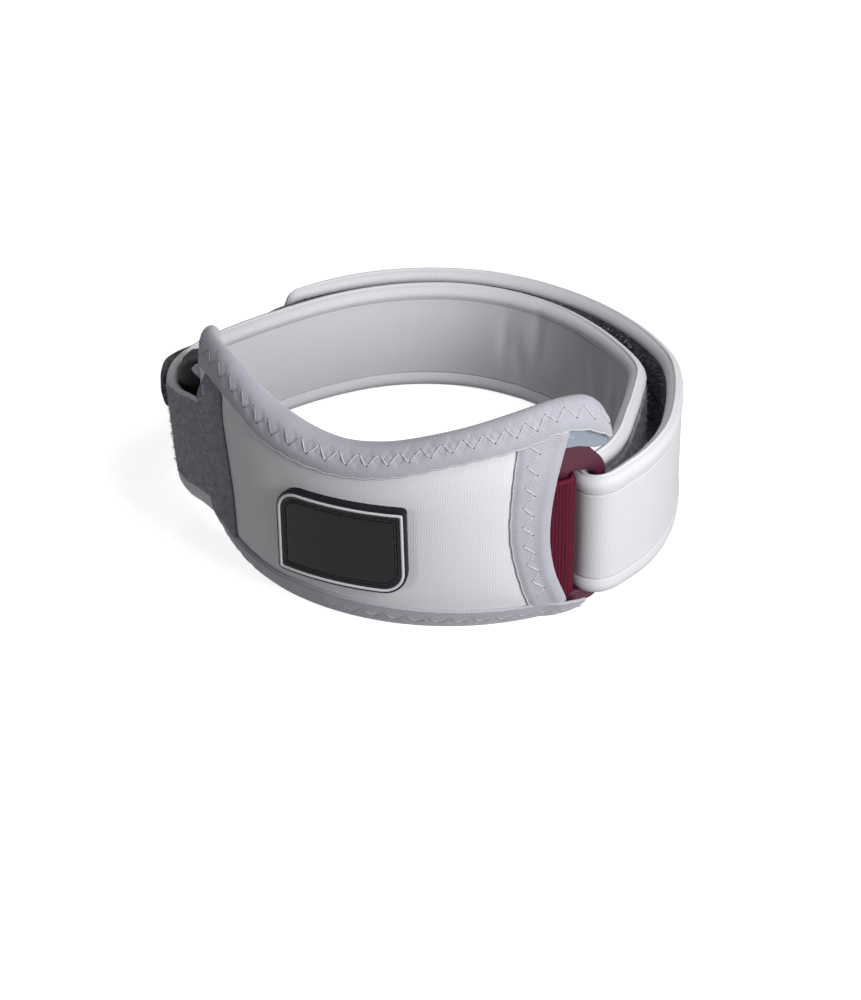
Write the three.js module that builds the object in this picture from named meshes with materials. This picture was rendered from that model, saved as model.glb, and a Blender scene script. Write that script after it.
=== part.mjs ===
// Patellar knee brace: a padded front pad and one strap closed round the leg.
// Millimetres, +Z up, the pad faces -Y and the brace stands on its lower edges.
import * as THREE from 'three';

const GAP = 0.3;
const TAPE = 0.8;
const COVER = 0.8;
const PLATE = 1.2;
const THIN = 1.1;
const FLARE_HEIGHT = 55;
const PAD_AXIS = { x: 3, y: 3.5 };
const STRAP_WIDTH = 31;
const PILE_FACE = 1.8;
const PILE = 0.8;
const HOOK = 1.1;
const PILE_MARGIN = 5.2;
const PILE_START = -50;
const HOOK_MARGIN = 6;
const HOOK_START = 96;
const RING_RADIUS = 54.4;
const RING_BAR = 1.6;
const RING = { bottom: 2.4, top: 44.4, corner: 4.6, bevel: 0.9 };
const RING_SLOT = { bottom: 5.8, top: 37.6, corner: 1.2 };
const HELD_BAR_ANGLE = 52.9;
const FREE_BAR_ANGLE = 63.7;
const FOLD_RADIUS = 4.6;
const FOLD_FOOT = 6.2;
const FOOT_FLAT = { first: -18, last: 50 };
const SEAM_TOP = 46;
const WEB_RADIUS = 2.6;
const WEB_HALF = 0.6;
const WEB_START = 44.3;
const WEB_BOTTOM = 7;
const WEB_TOP = 36.6;
const BADGE = { width: 32, height: 22.5, depth: 2.2, angle: 1.1, z: 23.75, roll: 1.5, radius: 60.6 };
const BADGE_CORNERS = { topLeft: 6, topRight: 1.2, bottomRight: 6, bottomLeft: 1.2 };

const FINISHES = {
  knit: { color: 0xe6e6e8, roughness: 0.9, metalness: 0 },
  tape: { color: 0xb4b4bd, roughness: 0.9, metalness: 0 },
  velour: { color: 0x76757d, roughness: 1, metalness: 0 },
  hook: { color: 0x26262a, roughness: 0.7, metalness: 0 },
  webbing: { color: 0x52242f, roughness: 0.8, metalness: 0 },
  moulding: { color: 0x5c2536, roughness: 0.35, metalness: 0 },
  plate: { color: 0xa6adb9, roughness: 0.45, metalness: 0 },
  rubber: { color: 0x2f2e33, roughness: 0.55, metalness: 0 },
  line: { color: 0xdedee0, roughness: 0.55, metalness: 0 },
  foam: { color: 0xc9c9ce, roughness: 0.95, metalness: 0 },
};

// Radii of the padding's leg side and front about the pad's axis, from the floor up.
const WALL = [
  { z: 0, leg: 50.4, face: 51.5 },
  { z: 2, leg: 50.8, face: 53.4 },
  { z: 5, leg: 51.4, face: 55.6 },
  { z: 11, leg: 52.2, face: 57 },
  { z: 25, leg: 52.8, face: 57.6 },
  { z: 40, leg: 53.2, face: 57.2 },
  { z: 50, leg: 53.8, face: 55.6 },
  { z: 62, leg: 53.8, face: 55 },
];

// How full the padding is along the pad, and how far its top leans out, from left end to right end.
const FULLNESS = [
  { angle: -56, part: 0.5, flare: 3.2 },
  { angle: -35, part: 0.8, flare: 3 },
  { angle: -10, part: 1, flare: 0.6 },
  { angle: 10, part: 1, flare: 0 },
  { angle: 30, part: 1, flare: 0 },
  { angle: 66, part: 1, flare: 1 },
];

// Outlines on the pad: angle about its axis and height along each edge.
const PAD_OUTLINE = {
  bottom: [
    { at: 0, angle: -50, z: 12.2 },
    { at: 0.07, angle: -43.5, z: 9.8 },
    { at: 0.14, angle: -37, z: 7.7 },
    { at: 0.2, angle: -31.5, z: 5.7 },
    { at: 0.31, angle: -21, z: 2.2 },
    { at: 0.41, angle: -12, z: 1.3 },
    { at: 0.5, angle: -3, z: 1.3 },
    { at: 1, angle: 43, z: 1.3 },
  ],
  top: [
    { at: 0, angle: -52, z: 51.5 },
    { at: 0.06, angle: -47, z: 56.4 },
    { at: 0.15, angle: -36, z: 56 },
    { at: 0.3, angle: -18, z: 50.4 },
    { at: 0.43, angle: -3, z: 46.2 },
    { at: 0.53, angle: 9, z: 47.4 },
    { at: 0.67, angle: 25, z: 51.3 },
    { at: 0.86, angle: 47, z: 56.5 },
    { at: 0.93, angle: 56, z: 56.2 },
    { at: 0.97, angle: 60.5, z: 52.6 },
    { at: 1, angle: 62.5, z: 48 },
  ],
  left: [
    { at: 0, angle: -50, z: 12.2 },
    { at: 0.12, angle: -56, z: 14.5 },
    { at: 0.32, angle: -66, z: 22 },
    { at: 0.5, angle: -66, z: 29 },
    { at: 0.64, angle: -58, z: 35.4 },
    { at: 0.76, angle: -52.4, z: 40.6 },
    { at: 1, angle: -52, z: 51.5 },
  ],
  right: [
    { at: 0, angle: 43, z: 1.3 },
    { at: 0.6, angle: 43, z: 36 },
    { at: 0.72, angle: 44.5, z: 45 },
    { at: 0.82, angle: 51.5, z: 49.2 },
    { at: 0.92, angle: 57.5, z: 47.6 },
    { at: 1, angle: 62.5, z: 48 },
  ],
};

const COVER_OUTLINE = {
  bottom: [
    { at: 0, angle: -49, z: 14 },
    { at: 0.07, angle: -42, z: 11 },
    { at: 0.14, angle: -35.6, z: 8.6 },
    { at: 0.22, angle: -28, z: 5.8 },
    { at: 0.3, angle: -20, z: 3.4 },
    { at: 0.4, angle: -10, z: 2.6 },
    { at: 0.86, angle: 37, z: 2.6 },
    { at: 1, angle: 51.2, z: 5 },
  ],
  top: [
    { at: 0, angle: -50, z: 47.2 },
    { at: 0.05, angle: -46, z: 48.3 },
    { at: 0.15, angle: -36, z: 50.5 },
    { at: 0.32, angle: -18, z: 44.8 },
    { at: 0.46, angle: -3, z: 42.9 },
    { at: 0.57, angle: 9, z: 44 },
    { at: 0.74, angle: 25, z: 48.1 },
    { at: 1, angle: 51, z: 50.8 },
  ],
  left: [
    { at: 0, angle: -49, z: 14 },
    { at: 1, angle: -50, z: 47.2 },
  ],
  right: [
    { at: 0, angle: 51.2, z: 5 },
    { at: 0.2, angle: 47.3, z: 15 },
    { at: 0.42, angle: 45.8, z: 26 },
    { at: 0.7, angle: 47.2, z: 39 },
    { at: 1, angle: 51, z: 50.8 },
  ],
};

const PLATE_OUTLINE = {
  bottom: [
    { at: 0, angle: -48, z: 18 },
    { at: 1, angle: 41, z: 14 },
  ],
  top: [
    { at: 0, angle: -55, z: 46.6 },
    { at: 0.2, angle: -36, z: 51 },
    { at: 0.46, angle: -3, z: 43.6 },
    { at: 0.7, angle: 25, z: 48.6 },
    { at: 0.9, angle: 47, z: 52 },
    { at: 1, angle: 59.5, z: 48.6 },
  ],
  left: [
    { at: 0, angle: -48, z: 18 },
    { at: 0.6, angle: -50, z: 38 },
    { at: 0.8, angle: -55, z: 42 },
    { at: 1, angle: -55, z: 46.6 },
  ],
  right: [
    { at: 0, angle: 41, z: 14 },
    { at: 0.55, angle: 41, z: 38 },
    { at: 0.72, angle: 45.5, z: 45 },
    { at: 0.86, angle: 52, z: 45.2 },
    { at: 0.95, angle: 59, z: 45.6 },
    { at: 1, angle: 59.5, z: 48.6 },
  ],
};

// Lower edge of the tape over the pad's top, and upper edge of the tape under its foot.
const TOP_TAPE = [
  { angle: -53, edge: 45 },
  { angle: -36, edge: 49 },
  { angle: -20, edge: 43.6 },
  { angle: -3, edge: 41.4 },
  { angle: 10, edge: 42.6 },
  { angle: 25, edge: 46.6 },
  { angle: 45, edge: 50.4 },
  { angle: 52, edge: 49 },
  { angle: 62.5, edge: 46 },
];
const FOOT_TAPE = [
  { angle: -44, rise: 8.2, edge: 10.4 },
  { angle: -40, rise: 7.5, edge: 11 },
  { angle: -33, rise: 5, edge: 10 },
  { angle: -26, rise: 2.5, edge: 8.6 },
  { angle: -18, rise: 0, edge: 7.4 },
  { angle: -10, rise: 0, edge: 7.6 },
  { angle: 30, rise: 0, edge: 6.4 },
  { angle: 50, rise: 0, edge: 5.6 },
  { angle: 56, rise: 1.2, edge: 5.2 },
];

// Left limit of the tape down the cover's bowed right edge.
const RIGHT_TAPE = [
  { z: 5, edge: 43.8 },
  { z: 12, edge: 41.2 },
  { z: 26, edge: 38.4 },
  { z: 40, edge: 38.9 },
  { z: 50, edge: 40.4 },
];
// Stand of the tape over the strap's sewn end off the cover.
const SEAM_TAPE = [
  { z: 8, left: -31.5, right: -27, stand: 2.6 },
  { z: 14, left: -33, right: -27.5, stand: 2.6 },
  { z: 22, left: -35.2, right: -28, stand: 2.6 },
  { z: 34, left: -36.9, right: -28.6, stand: 2.6 },
  { z: 44.2, left: -37.6, right: -29.6, stand: 2.6 },
  { z: SEAM_TOP, left: -37.6, right: -29.8, stand: 0 },
  { z: 50, left: -37.6, right: -30, stand: 0 },
];

// Strap round the leg from its seam to the ring: radii of its two edges, height and fullness.
const INNER_RUN = [
  { angle: -31, low: 56.2, high: 57.6, foot: 13, full: 0.3 },
  { angle: -37, low: 56, high: 57.6, foot: 12.6, full: 0.4 },
  { angle: -47, low: 56.2, high: 58.4, foot: 10.4, full: 0.9 },
  { angle: -57, low: 57, high: 60.2, foot: 6.4, full: 1 },
  { angle: -66, low: 58.2, high: 61.2, foot: 4.8, full: 1 },
  { angle: -75, low: 58, high: 60.2, foot: 3.8, full: 1 },
  { angle: -86, low: 57, high: 57.4, foot: 2.6, full: 1 },
  { angle: -98, low: 55.6, high: 54.4, foot: 1.4, full: 1 },
  { angle: -112, low: 54.6, high: 52.4, foot: 0.4, full: 1 },
  { angle: -128, low: 54.2, high: 51.6, foot: 0, full: 1 },
  { angle: -146, low: 54.4, high: 51.4, foot: 0, full: 1 },
  { angle: -165, low: 53.8, high: 51.7, foot: 0, full: 1 },
  { angle: -187, low: 51.6, high: 51.2, foot: 0, full: 1 },
  { angle: -205, low: 50.4, high: 50.2, foot: 0, full: 1 },
  { angle: -219, low: 49.6, high: 49.7, foot: 0.2, full: 1 },
  { angle: -233, low: 49.2, high: 49.3, foot: 1, full: 1 },
  { angle: -246, low: 48.2, high: 48.2, foot: 2, full: 1 },
  { angle: -260, low: 47.9, high: 47.9, foot: 3.4, full: 1 },
  { angle: -272, low: 49, high: 49, foot: 4.6, full: 1 },
  { angle: -282, low: 50.3, high: 50.3, foot: 5.6, full: 1 },
];

// The same strap from the ring back round to its end.
const OUTER_RUN = [
  { angle: 78, low: 60.5, high: 60.5, foot: 5.8, full: 1 },
  { angle: 90, low: 59.6, high: 59.8, foot: 5.6, full: 1 },
  { angle: 104, low: 58.3, high: 58.5, foot: 4.8, full: 1 },
  { angle: 120, low: 57.4, high: 57.5, foot: 3.4, full: 1 },
  { angle: 135, low: 57.2, high: 57.2, foot: 2, full: 1 },
  { angle: 152, low: 57.4, high: 57, foot: 1, full: 1 },
  { angle: 170, low: 58.2, high: 57.4, foot: 0.5, full: 1 },
  { angle: 190, low: 59.4, high: 57.8, foot: 0.4, full: 1 },
  { angle: 205, low: 60.2, high: 57.8, foot: 0.4, full: 1 },
  { angle: 222, low: 60.4, high: 57.9, foot: 0.5, full: 1 },
  { angle: 234, low: 60.4, high: 57.9, foot: 0.6, full: 1 },
  { angle: 243, low: 60.5, high: 58.2, foot: 0.8, full: 1 },
];

// Half the strap's thickness across its width, from edge to edge.
const STRAP_SECTION = [
  { up: 0, half: 1 },
  { up: 0.8, half: 1.8 },
  { up: 2.4, half: 2 },
  { up: 5, half: 1.4 },
  { up: 26, half: 1.4 },
  { up: 28.6, half: 2 },
  { up: 30.2, half: 1.8 },
  { up: 31, half: 1 },
];

// Free tab of the hook strip past the strap's end, lying on the strap's pile.
const HOOK_TAB = [
  { angle: 248, low: 58.6, high: 56.7, foot: 1, full: 1 },
  { angle: 262, low: 59.6, high: 58.8, foot: 2.6, full: 1 },
  { angle: 272, low: 60.8, high: 61.2, foot: 4.6, full: 1 },
  { angle: 281, low: 61.8, high: 63.6, foot: 6.6, full: 1 },
  { angle: 289, low: 62.4, high: 65, foot: 8, full: 1 },
];

function rad(degrees) {
  return THREE.MathUtils.degToRad(degrees);
}

// Smooth value of one column of a table at a position in another column.
function read(rows, key, column, at) {
  const sign = Math.sign(rows[1][key] - rows[0][key]);
  let i = 0;
  while (i < rows.length - 2 && sign * (at - rows[i + 1][key]) > 0) {
    i += 1;
  }
  const [a, b] = [rows[i], rows[i + 1]];
  const before = rows[i - 1] ?? a;
  const after = rows[i + 2] ?? b;
  const span = b[key] - a[key];
  const t = THREE.MathUtils.clamp((at - a[key]) / span, 0, 1);
  const slopeA = ((b[column] - before[column]) / (b[key] - before[key])) * span;
  const slopeB = ((after[column] - a[column]) / (after[key] - a[key])) * span;
  const t2 = t * t;
  const t3 = t2 * t;
  return (2 * t3 - 3 * t2 + 1) * a[column] + (t3 - 2 * t2 + t) * slopeA
    + (3 * t2 - 2 * t3) * b[column] + (t3 - t2) * slopeB;
}

// Straight-line value of one column of a table at a position in another column.
function readStraight(rows, key, column, at) {
  let i = 0;
  while (i < rows.length - 2 && at > rows[i + 1][key]) {
    i += 1;
  }
  const [a, b] = [rows[i], rows[i + 1]];
  return THREE.MathUtils.mapLinear(at, a[key], b[key], a[column], b[column]);
}

// Values from one number to another in equal steps.
function between(first, last, count) {
  return Array.from({ length: count + 1 }, (unused, i) => first + ((last - first) * i) / count);
}

function build(points, faces) {
  const geometry = new THREE.BufferGeometry();
  const numbers = points.flatMap((p) => p.toArray());
  geometry.setAttribute('position', new THREE.Float32BufferAttribute(numbers, 3));
  geometry.setIndex(faces);
  geometry.computeVertexNormals();
  return geometry;
}

// Closed body between two equal grids of points; the outer grid runs left to right, then up.
function slab(outer, inner) {
  const rows = outer.length;
  const cols = outer[0].length;
  const half = rows * cols;
  const faces = [];
  const quad = (a, b, c, d) => faces.push(a, b, c, a, c, d);
  for (let i = 0; i < rows - 1; i += 1) {
    for (let j = 0; j < cols - 1; j += 1) {
      const a = i * cols + j;
      const b = a + cols;
      quad(a, b, b + 1, a + 1);
      quad(half + a, half + a + 1, half + b + 1, half + b);
    }
  }
  for (let j = 0; j < cols - 1; j += 1) {
    const last = (rows - 1) * cols + j;
    quad(j, j + 1, half + j + 1, half + j);
    quad(last + 1, last, half + last, half + last + 1);
  }
  for (let i = 0; i < rows - 1; i += 1) {
    const a = i * cols;
    const b = a + cols;
    quad(b, a, half + a, half + b);
    quad(a + cols - 1, b + cols - 1, half + b + cols - 1, half + a + cols - 1);
  }
  return build([...outer.flat(), ...inner.flat()], faces);
}

// Closed loop of equal closed sections.
function loop(sections) {
  const rows = sections.length;
  const cols = sections[0].length;
  const faces = [];
  for (let i = 0; i < rows; i += 1) {
    for (let j = 0; j < cols; j += 1) {
      const next = ((i + 1) % rows) * cols;
      const side = (j + 1) % cols;
      faces.push(i * cols + j, next + j, next + side, i * cols + j, next + side, i * cols + side);
    }
  }
  return build(sections.flat(), faces);
}

function onPad(angle, radius, z) {
  const a = rad(angle);
  return new THREE.Vector3(PAD_AXIS.x + radius * Math.sin(a), PAD_AXIS.y - radius * Math.cos(a), z);
}

function legRadius(angle, z) {
  const lean = read(FULLNESS, 'angle', 'flare', angle) * (z / FLARE_HEIGHT) ** 2;
  return read(WALL, 'z', 'leg', z) + lean;
}

function faceRadius(angle, z) {
  const padding = read(WALL, 'z', 'face', z) - read(WALL, 'z', 'leg', z) - THIN;
  return legRadius(angle, z) + THIN + padding * read(FULLNESS, 'angle', 'part', angle);
}

const PLATE_BACK = GAP + 0.15;
const COVER_BACK = PLATE_BACK + PLATE + GAP;
const TAPE_BACK = COVER_BACK + COVER + GAP;

// Angle and height inside a four-sided outline, blended from its edges.
function inside(outline, s, t) {
  const edge = (rows, at) => [read(rows, 'at', 'angle', at), read(rows, 'at', 'z', at)];
  const [bottom, top] = [edge(outline.bottom, s), edge(outline.top, s)];
  const [left, right] = [edge(outline.left, t), edge(outline.right, t)];
  const [p00, p10] = [edge(outline.bottom, 0), edge(outline.bottom, 1)];
  const [p01, p11] = [edge(outline.top, 0), edge(outline.top, 1)];
  return [0, 1].map((k) => {
    const sides = (1 - t) * bottom[k] + t * top[k] + (1 - s) * left[k] + s * right[k];
    const corners = (1 - t) * ((1 - s) * p00[k] + s * p10[k]) + t * ((1 - s) * p01[k] + s * p11[k]);
    return sides - corners;
  });
}

// Curved panel over an outline, its back and front a distance off the padding's front.
function panel(outline, back, front, across, up) {
  const spots = between(0, 1, across).map((s) => between(0, 1, up).map((t) => inside(outline, s, t)));
  const grid = (off) => spots.map((column) => column.map(([angle, z]) => onPad(angle, off(angle, z), z)));
  return slab(grid(front), grid(back));
}

function offFace(distance) {
  return (angle, z) => faceRadius(angle, z) + distance;
}

function frontPad() {
  return panel(PAD_OUTLINE, legRadius, offFace(0), 32, 8);
}

function frontCover() {
  return panel(COVER_OUTLINE, offFace(COVER_BACK), offFace(COVER_BACK + COVER), 28, 8);
}

function stiffenerPlate() {
  return panel(PLATE_OUTLINE, offFace(PLATE_BACK), offFace(PLATE_BACK + PLATE), 20, 6);
}

// Tape folded over the pad's top edge, tip to tip.
function topBinding() {
  const rail = (angle, top, edge, out) => {
    const crown = top + GAP + out;
    const high = Math.max(top - 1.2, edge + 0.6);
    const neck = Math.min(Math.max(edge + 2.4, (edge + high) / 2), edge + 4, high - 0.3);
    const low = (z) => onPad(angle, faceRadius(angle, z) + TAPE_BACK + out, z);
    const close = (z, inset) => onPad(angle, faceRadius(angle, top) + 2 * GAP + out - inset, z);
    const behind = (z, inset) => onPad(angle, legRadius(angle, z) - GAP - out + inset, z);
    return [low(edge), low(neck), close(high, 0), close(crown, 0.5),
      behind(crown, 0.1), behind(high, 0), behind(neck, 0), behind(edge, 0)];
  };
  const sections = between(0, 1, 32).map((at) => {
    const angle = read(PAD_OUTLINE.top, 'at', 'angle', at);
    const top = read(PAD_OUTLINE.top, 'at', 'z', at);
    const edge = Math.min(read(TOP_TAPE, 'angle', 'edge', angle), top - 1.6);
    return { outer: rail(angle, top, edge, TAPE), inner: rail(angle, top, edge, 0) };
  });
  return slab(sections.map((s) => s.outer), sections.map((s) => s.inner));
}

// Tape folded under the pad's foot; its underside is flat on the floor.
function bottomBinding() {
  const rail = (angle, rise, edge, out) => {
    const low = rise + TAPE - out;
    const front = (z) => onPad(angle, faceRadius(angle, z) + TAPE_BACK + out, z);
    const behind = (z) => onPad(angle, legRadius(angle, z) - GAP - out, z);
    const outside = faceRadius(angle, rise) + TAPE_BACK + out;
    const leg = legRadius(angle, rise) - GAP - out;
    return [behind(edge), behind((edge + low) / 2), behind(low + 0.7),
      onPad(angle, leg + 0.5, low), onPad(angle, outside - 0.5, low),
      front(low + 0.7), front((edge + low) / 2), front(edge)];
  };
  const ends = [FOOT_TAPE[0].angle, FOOT_TAPE.at(-1).angle];
  const angles = [
    ...between(ends[0], FOOT_FLAT.first, 6),
    ...between(FOOT_FLAT.first, FOOT_FLAT.last, 17).slice(1),
    ...between(FOOT_FLAT.last, ends[1], 2).slice(1),
  ];
  const sections = angles.map((angle) => {
    const rise = readStraight(FOOT_TAPE, 'angle', 'rise', angle);
    const edge = read(FOOT_TAPE, 'angle', 'edge', angle);
    return { outer: rail(angle, rise, edge, TAPE), inner: rail(angle, rise, edge, 0) };
  });
  return slab(sections.map((s) => s.outer), sections.map((s) => s.inner));
}

// Tape down the cover's bowed right edge, turned round that edge.
function rightEdgeBinding() {
  const rail = (z, out) => {
    const first = read(RIGHT_TAPE, 'z', 'edge', z);
    const last = read(COVER_OUTLINE.right, 'z', 'angle', z) + 0.35 + out;
    const front = (angle) => onPad(angle, faceRadius(angle, z) + TAPE_BACK + out, z);
    return [onPad(last, faceRadius(last, z) + COVER_BACK, z), ...between(last, first, 4).map(front)];
  };
  const heights = between(6.8, 48.6, 12);
  const [outer, inner] = [TAPE, 0].map((out) => heights.map((z) => rail(z, out)));
  return slab(outer, inner);
}

// Tape over the strap's sewn end.
function leftEdgeBinding() {
  const across = (z, part) => THREE.MathUtils.lerp(
    readStraight(SEAM_TAPE, 'z', 'left', z),
    readStraight(SEAM_TAPE, 'z', 'right', z),
    part,
  );
  const spots = between(0, 1, 5).map((part) => {
    const bottom = read(FOOT_TAPE, 'angle', 'edge', across(SEAM_TAPE[0].z, part)) + GAP;
    const top = read(TOP_TAPE, 'angle', 'edge', across(SEAM_TOP, part)) - GAP;
    const heights = [...between(bottom, SEAM_TOP - 1.8, 4), SEAM_TOP, top];
    return heights.map((z) => ({ angle: across(z, part), z }));
  });
  const grid = (out) => spots.map((column) => column.map(({ angle, z }) => {
    const stand = readStraight(SEAM_TAPE, 'z', 'stand', z);
    return onPad(angle, faceRadius(angle, z) + TAPE_BACK + stand + out, z);
  }));
  return slab(grid(TAPE), grid(0));
}

// Height limits of the badge's outline at a distance along it.
function badgeSides(x, inset) {
  const halfWidth = BADGE.width / 2 - inset;
  const halfHeight = BADGE.height / 2 - inset;
  const drop = (radius, distance) => {
    const r = Math.max(radius - inset, 0.3);
    const into = Math.max(r - distance, 0);
    return r - Math.sqrt(Math.max(r * r - into * into, 0));
  };
  const corners = x < 0 ? [BADGE_CORNERS.topLeft, BADGE_CORNERS.bottomLeft]
    : [BADGE_CORNERS.topRight, BADGE_CORNERS.bottomRight];
  const distance = halfWidth - Math.abs(x);
  return { top: halfHeight - drop(corners[0], distance), bottom: drop(corners[1], distance) - halfHeight };
}

function onBadge(x, y, depth) {
  const roll = rad(BADGE.roll);
  const along = x * Math.cos(roll) - y * Math.sin(roll);
  const up = x * Math.sin(roll) + y * Math.cos(roll);
  const angle = BADGE.angle + THREE.MathUtils.radToDeg(along / BADGE.radius);
  return onPad(angle, BADGE.radius + depth, BADGE.z + up);
}

function badge() {
  const half = BADGE.width / 2;
  const columns = [-half, -half + 0.4, -half + 1.2, -half + 3, -half + 6, -5, 0, 5,
    half - 6, half - 3, half - 1.2, half - 0.4, half];
  const grid = (depth) => columns.map((x) => {
    const { top, bottom } = badgeSides(x, 0);
    return between(bottom, top, 4).map((y) => onBadge(x, y, depth));
  });
  return slab(grid(BADGE.depth), grid(0));
}

// Raised line round the badge's face.
function badgeLine() {
  const rim = (inset) => {
    const half = BADGE.width / 2 - inset;
    const xs = [-half, -half + 0.5, -half + 1.4, -half + 3, -half + 5, -4, 4, half - 5, half - 3,
      half - 1.4, half - 0.5, half];
    const under = xs.map((x) => [x, badgeSides(x, inset).bottom]);
    const over = xs.map((x) => [x, badgeSides(x, inset).top]).reverse();
    return [...under, ...over];
  };
  const [outside, within] = [rim(0.9), rim(1.9)];
  const low = BADGE.depth + 0.25;
  const high = BADGE.depth + 0.75;
  return loop(outside.map(([x, y], i) => {
    const [u, v] = within[i];
    return [onBadge(x, y, high), onBadge(u, v, high), onBadge(u, v, low), onBadge(x, y, low)];
  }));
}

function ringPoint(along, z, depth) {
  const middle = (HELD_BAR_ANGLE + FREE_BAR_ANGLE) / 2;
  return onPad(middle + THREE.MathUtils.radToDeg(along / RING_RADIUS), RING_RADIUS + depth, z);
}

// Moulded loop: a bar in the webbing, a bar in the strap's fold, joined above and below.
function ring() {
  const reach = (rad(FREE_BAR_ANGLE - HELD_BAR_ANGLE) * RING_RADIUS) / 2;
  const bars = { ...RING, left: -reach - RING_BAR, right: reach + RING_BAR };
  const slot = { ...RING_SLOT, left: -reach + RING_BAR, right: reach - RING_BAR };
  const round = (shape, box) => {
    const r = box.corner;
    shape.moveTo(box.left + r, box.bottom);
    shape.lineTo(box.right - r, box.bottom);
    shape.quadraticCurveTo(box.right, box.bottom, box.right, box.bottom + r);
    shape.lineTo(box.right, box.top - r);
    shape.quadraticCurveTo(box.right, box.top, box.right - r, box.top);
    shape.lineTo(box.left + r, box.top);
    shape.quadraticCurveTo(box.left, box.top, box.left, box.top - r);
    shape.lineTo(box.left, box.bottom + r);
    shape.quadraticCurveTo(box.left, box.bottom, box.left + r, box.bottom);
    return shape;
  };
  const { bevel } = RING;
  const shrink = (box, by) => ({
    left: box.left + by,
    right: box.right - by,
    bottom: box.bottom + by,
    top: box.top - by,
    corner: box.corner,
  });
  const outline = round(new THREE.Shape(), shrink(bars, bevel));
  outline.holes.push(round(new THREE.Path(), shrink(slot, -bevel)));
  const geometry = new THREE.ExtrudeGeometry(outline, {
    depth: 2 * (RING_BAR - bevel),
    bevelThickness: bevel,
    bevelSize: bevel,
    bevelSegments: 2,
    curveSegments: 4,
  });
  const at = geometry.attributes.position;
  for (let i = 0; i < at.count; i += 1) {
    const p = ringPoint(at.getX(i), at.getY(i), at.getZ(i) - RING_BAR + bevel);
    at.setXYZ(i, p.x, p.y, p.z);
  }
  geometry.computeVertexNormals();
  return geometry;
}

// Webbing out of the pad's pocket, round the held bar and back.
function ringWebbing() {
  const straight = (side) => (angle) => ({ angle, radius: RING_RADIUS + side });
  const turned = (reach) => (turn) => ({
    angle: HELD_BAR_ANGLE + THREE.MathUtils.radToDeg((reach * Math.sin(rad(turn))) / RING_RADIUS),
    radius: RING_RADIUS - reach * Math.cos(rad(turn)),
  });
  const path = (off) => [
    ...between(WEB_START, HELD_BAR_ANGLE, 3).map(straight(-WEB_RADIUS - off)),
    ...between(15, 165, 10).map(turned(WEB_RADIUS + off)),
    ...between(HELD_BAR_ANGLE, WEB_START, 3).map(straight(WEB_RADIUS + off)),
  ];
  const wall = (off) => path(off).map(({ angle, radius }) => [onPad(angle, radius, WEB_TOP),
    onPad(angle, radius, WEB_BOTTOM)]);
  return slab(wall(WEB_HALF), wall(-WEB_HALF));
}

function aroundLeg(angle, radius) {
  return new THREE.Vector2(radius * Math.sin(rad(angle)), -radius * Math.cos(rad(angle)));
}

function runSpots(rows, count) {
  return between(rows[0].angle, rows.at(-1).angle, count).map((angle) => ({
    angle,
    low: aroundLeg(angle, read(rows, 'angle', 'low', angle)),
    high: aroundLeg(angle, read(rows, 'angle', 'high', angle)),
    foot: Math.max(read(rows, 'angle', 'foot', angle), 0),
    full: read(rows, 'angle', 'full', angle),
  }));
}

// Spots along the strap: the inner run, the fold round the ring's free bar, the outer run.
function strapSpots() {
  const inner = runSpots(INNER_RUN, 42);
  const outer = runSpots(OUTER_RUN, 26);
  const bar = onPad(FREE_BAR_ANGLE, RING_RADIUS, 0);
  const away = new THREE.Vector2(bar.x, bar.y).normalize();
  const forward = new THREE.Vector2(away.y, -away.x);
  const fold = between(0, 180, 10).map((turn) => {
    const at = new THREE.Vector2(bar.x, bar.y)
      .addScaledVector(away, -FOLD_RADIUS * Math.cos(rad(turn)))
      .addScaledVector(forward, FOLD_RADIUS * Math.sin(rad(turn)));
    return { low: at, high: at, foot: FOLD_FOOT, full: 1 };
  });
  return { inner, fold, outer };
}

// Points along a run of spots, a distance to its pile side and a height over its foot.
function beside(spots, offset, up) {
  const line = spots.map((spot) => spot.low.clone().lerp(spot.high, up / STRAP_WIDTH));
  return spots.map((spot, i) => {
    const along = line[Math.min(i + 1, line.length - 1)].clone().sub(line[Math.max(i - 1, 0)]).normalize();
    const off = offset * spot.full;
    return new THREE.Vector3(line[i].x - along.y * off, line[i].y + along.x * off, spot.foot + up);
  });
}

function ribbon(spots, near, far, heights) {
  const grid = (offsets) => {
    const rails = heights.map((up, k) => beside(spots, offsets[k], up));
    return spots.map((unused, i) => rails.map((rail) => rail[i]));
  };
  return slab(grid(near), grid(far));
}

function strap() {
  const { inner, fold, outer } = strapSpots();
  const heights = STRAP_SECTION.map((row) => row.up);
  const halves = STRAP_SECTION.map((row) => row.half);
  return ribbon([...inner, ...fold, ...outer], halves.map((h) => -h), halves, heights);
}

function strapPile() {
  const { inner, fold, outer } = strapSpots();
  const spots = [
    ...inner.filter((s) => s.angle < PILE_START),
    ...fold,
    ...outer.filter((s) => s.angle < HOOK_START - 4),
  ];
  const heights = [PILE_MARGIN, STRAP_WIDTH - PILE_MARGIN];
  return ribbon(spots, [PILE_FACE, PILE_FACE], [PILE_FACE + PILE, PILE_FACE + PILE], heights);
}

// Hook strip on the strap's outer run and its free tab.
function hookStrip() {
  const { outer } = strapSpots();
  const covered = outer.filter((s) => s.angle > HOOK_START);
  const [low, high] = [0, STRAP_WIDTH].map((up) => beside(covered, PILE_FACE + HOOK / 2, up));
  const laid = covered.map(({ foot }, i) => ({
    low: new THREE.Vector2(low[i].x, low[i].y),
    high: new THREE.Vector2(high[i].x, high[i].y),
    foot,
    full: 1,
  }));
  const tab = runSpots(HOOK_TAB, 9);
  const heights = [HOOK_MARGIN, STRAP_WIDTH - HOOK_MARGIN];
  return ribbon([...laid, ...tab], [-HOOK / 2, -HOOK / 2], [HOOK / 2, HOOK / 2], heights);
}

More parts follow.
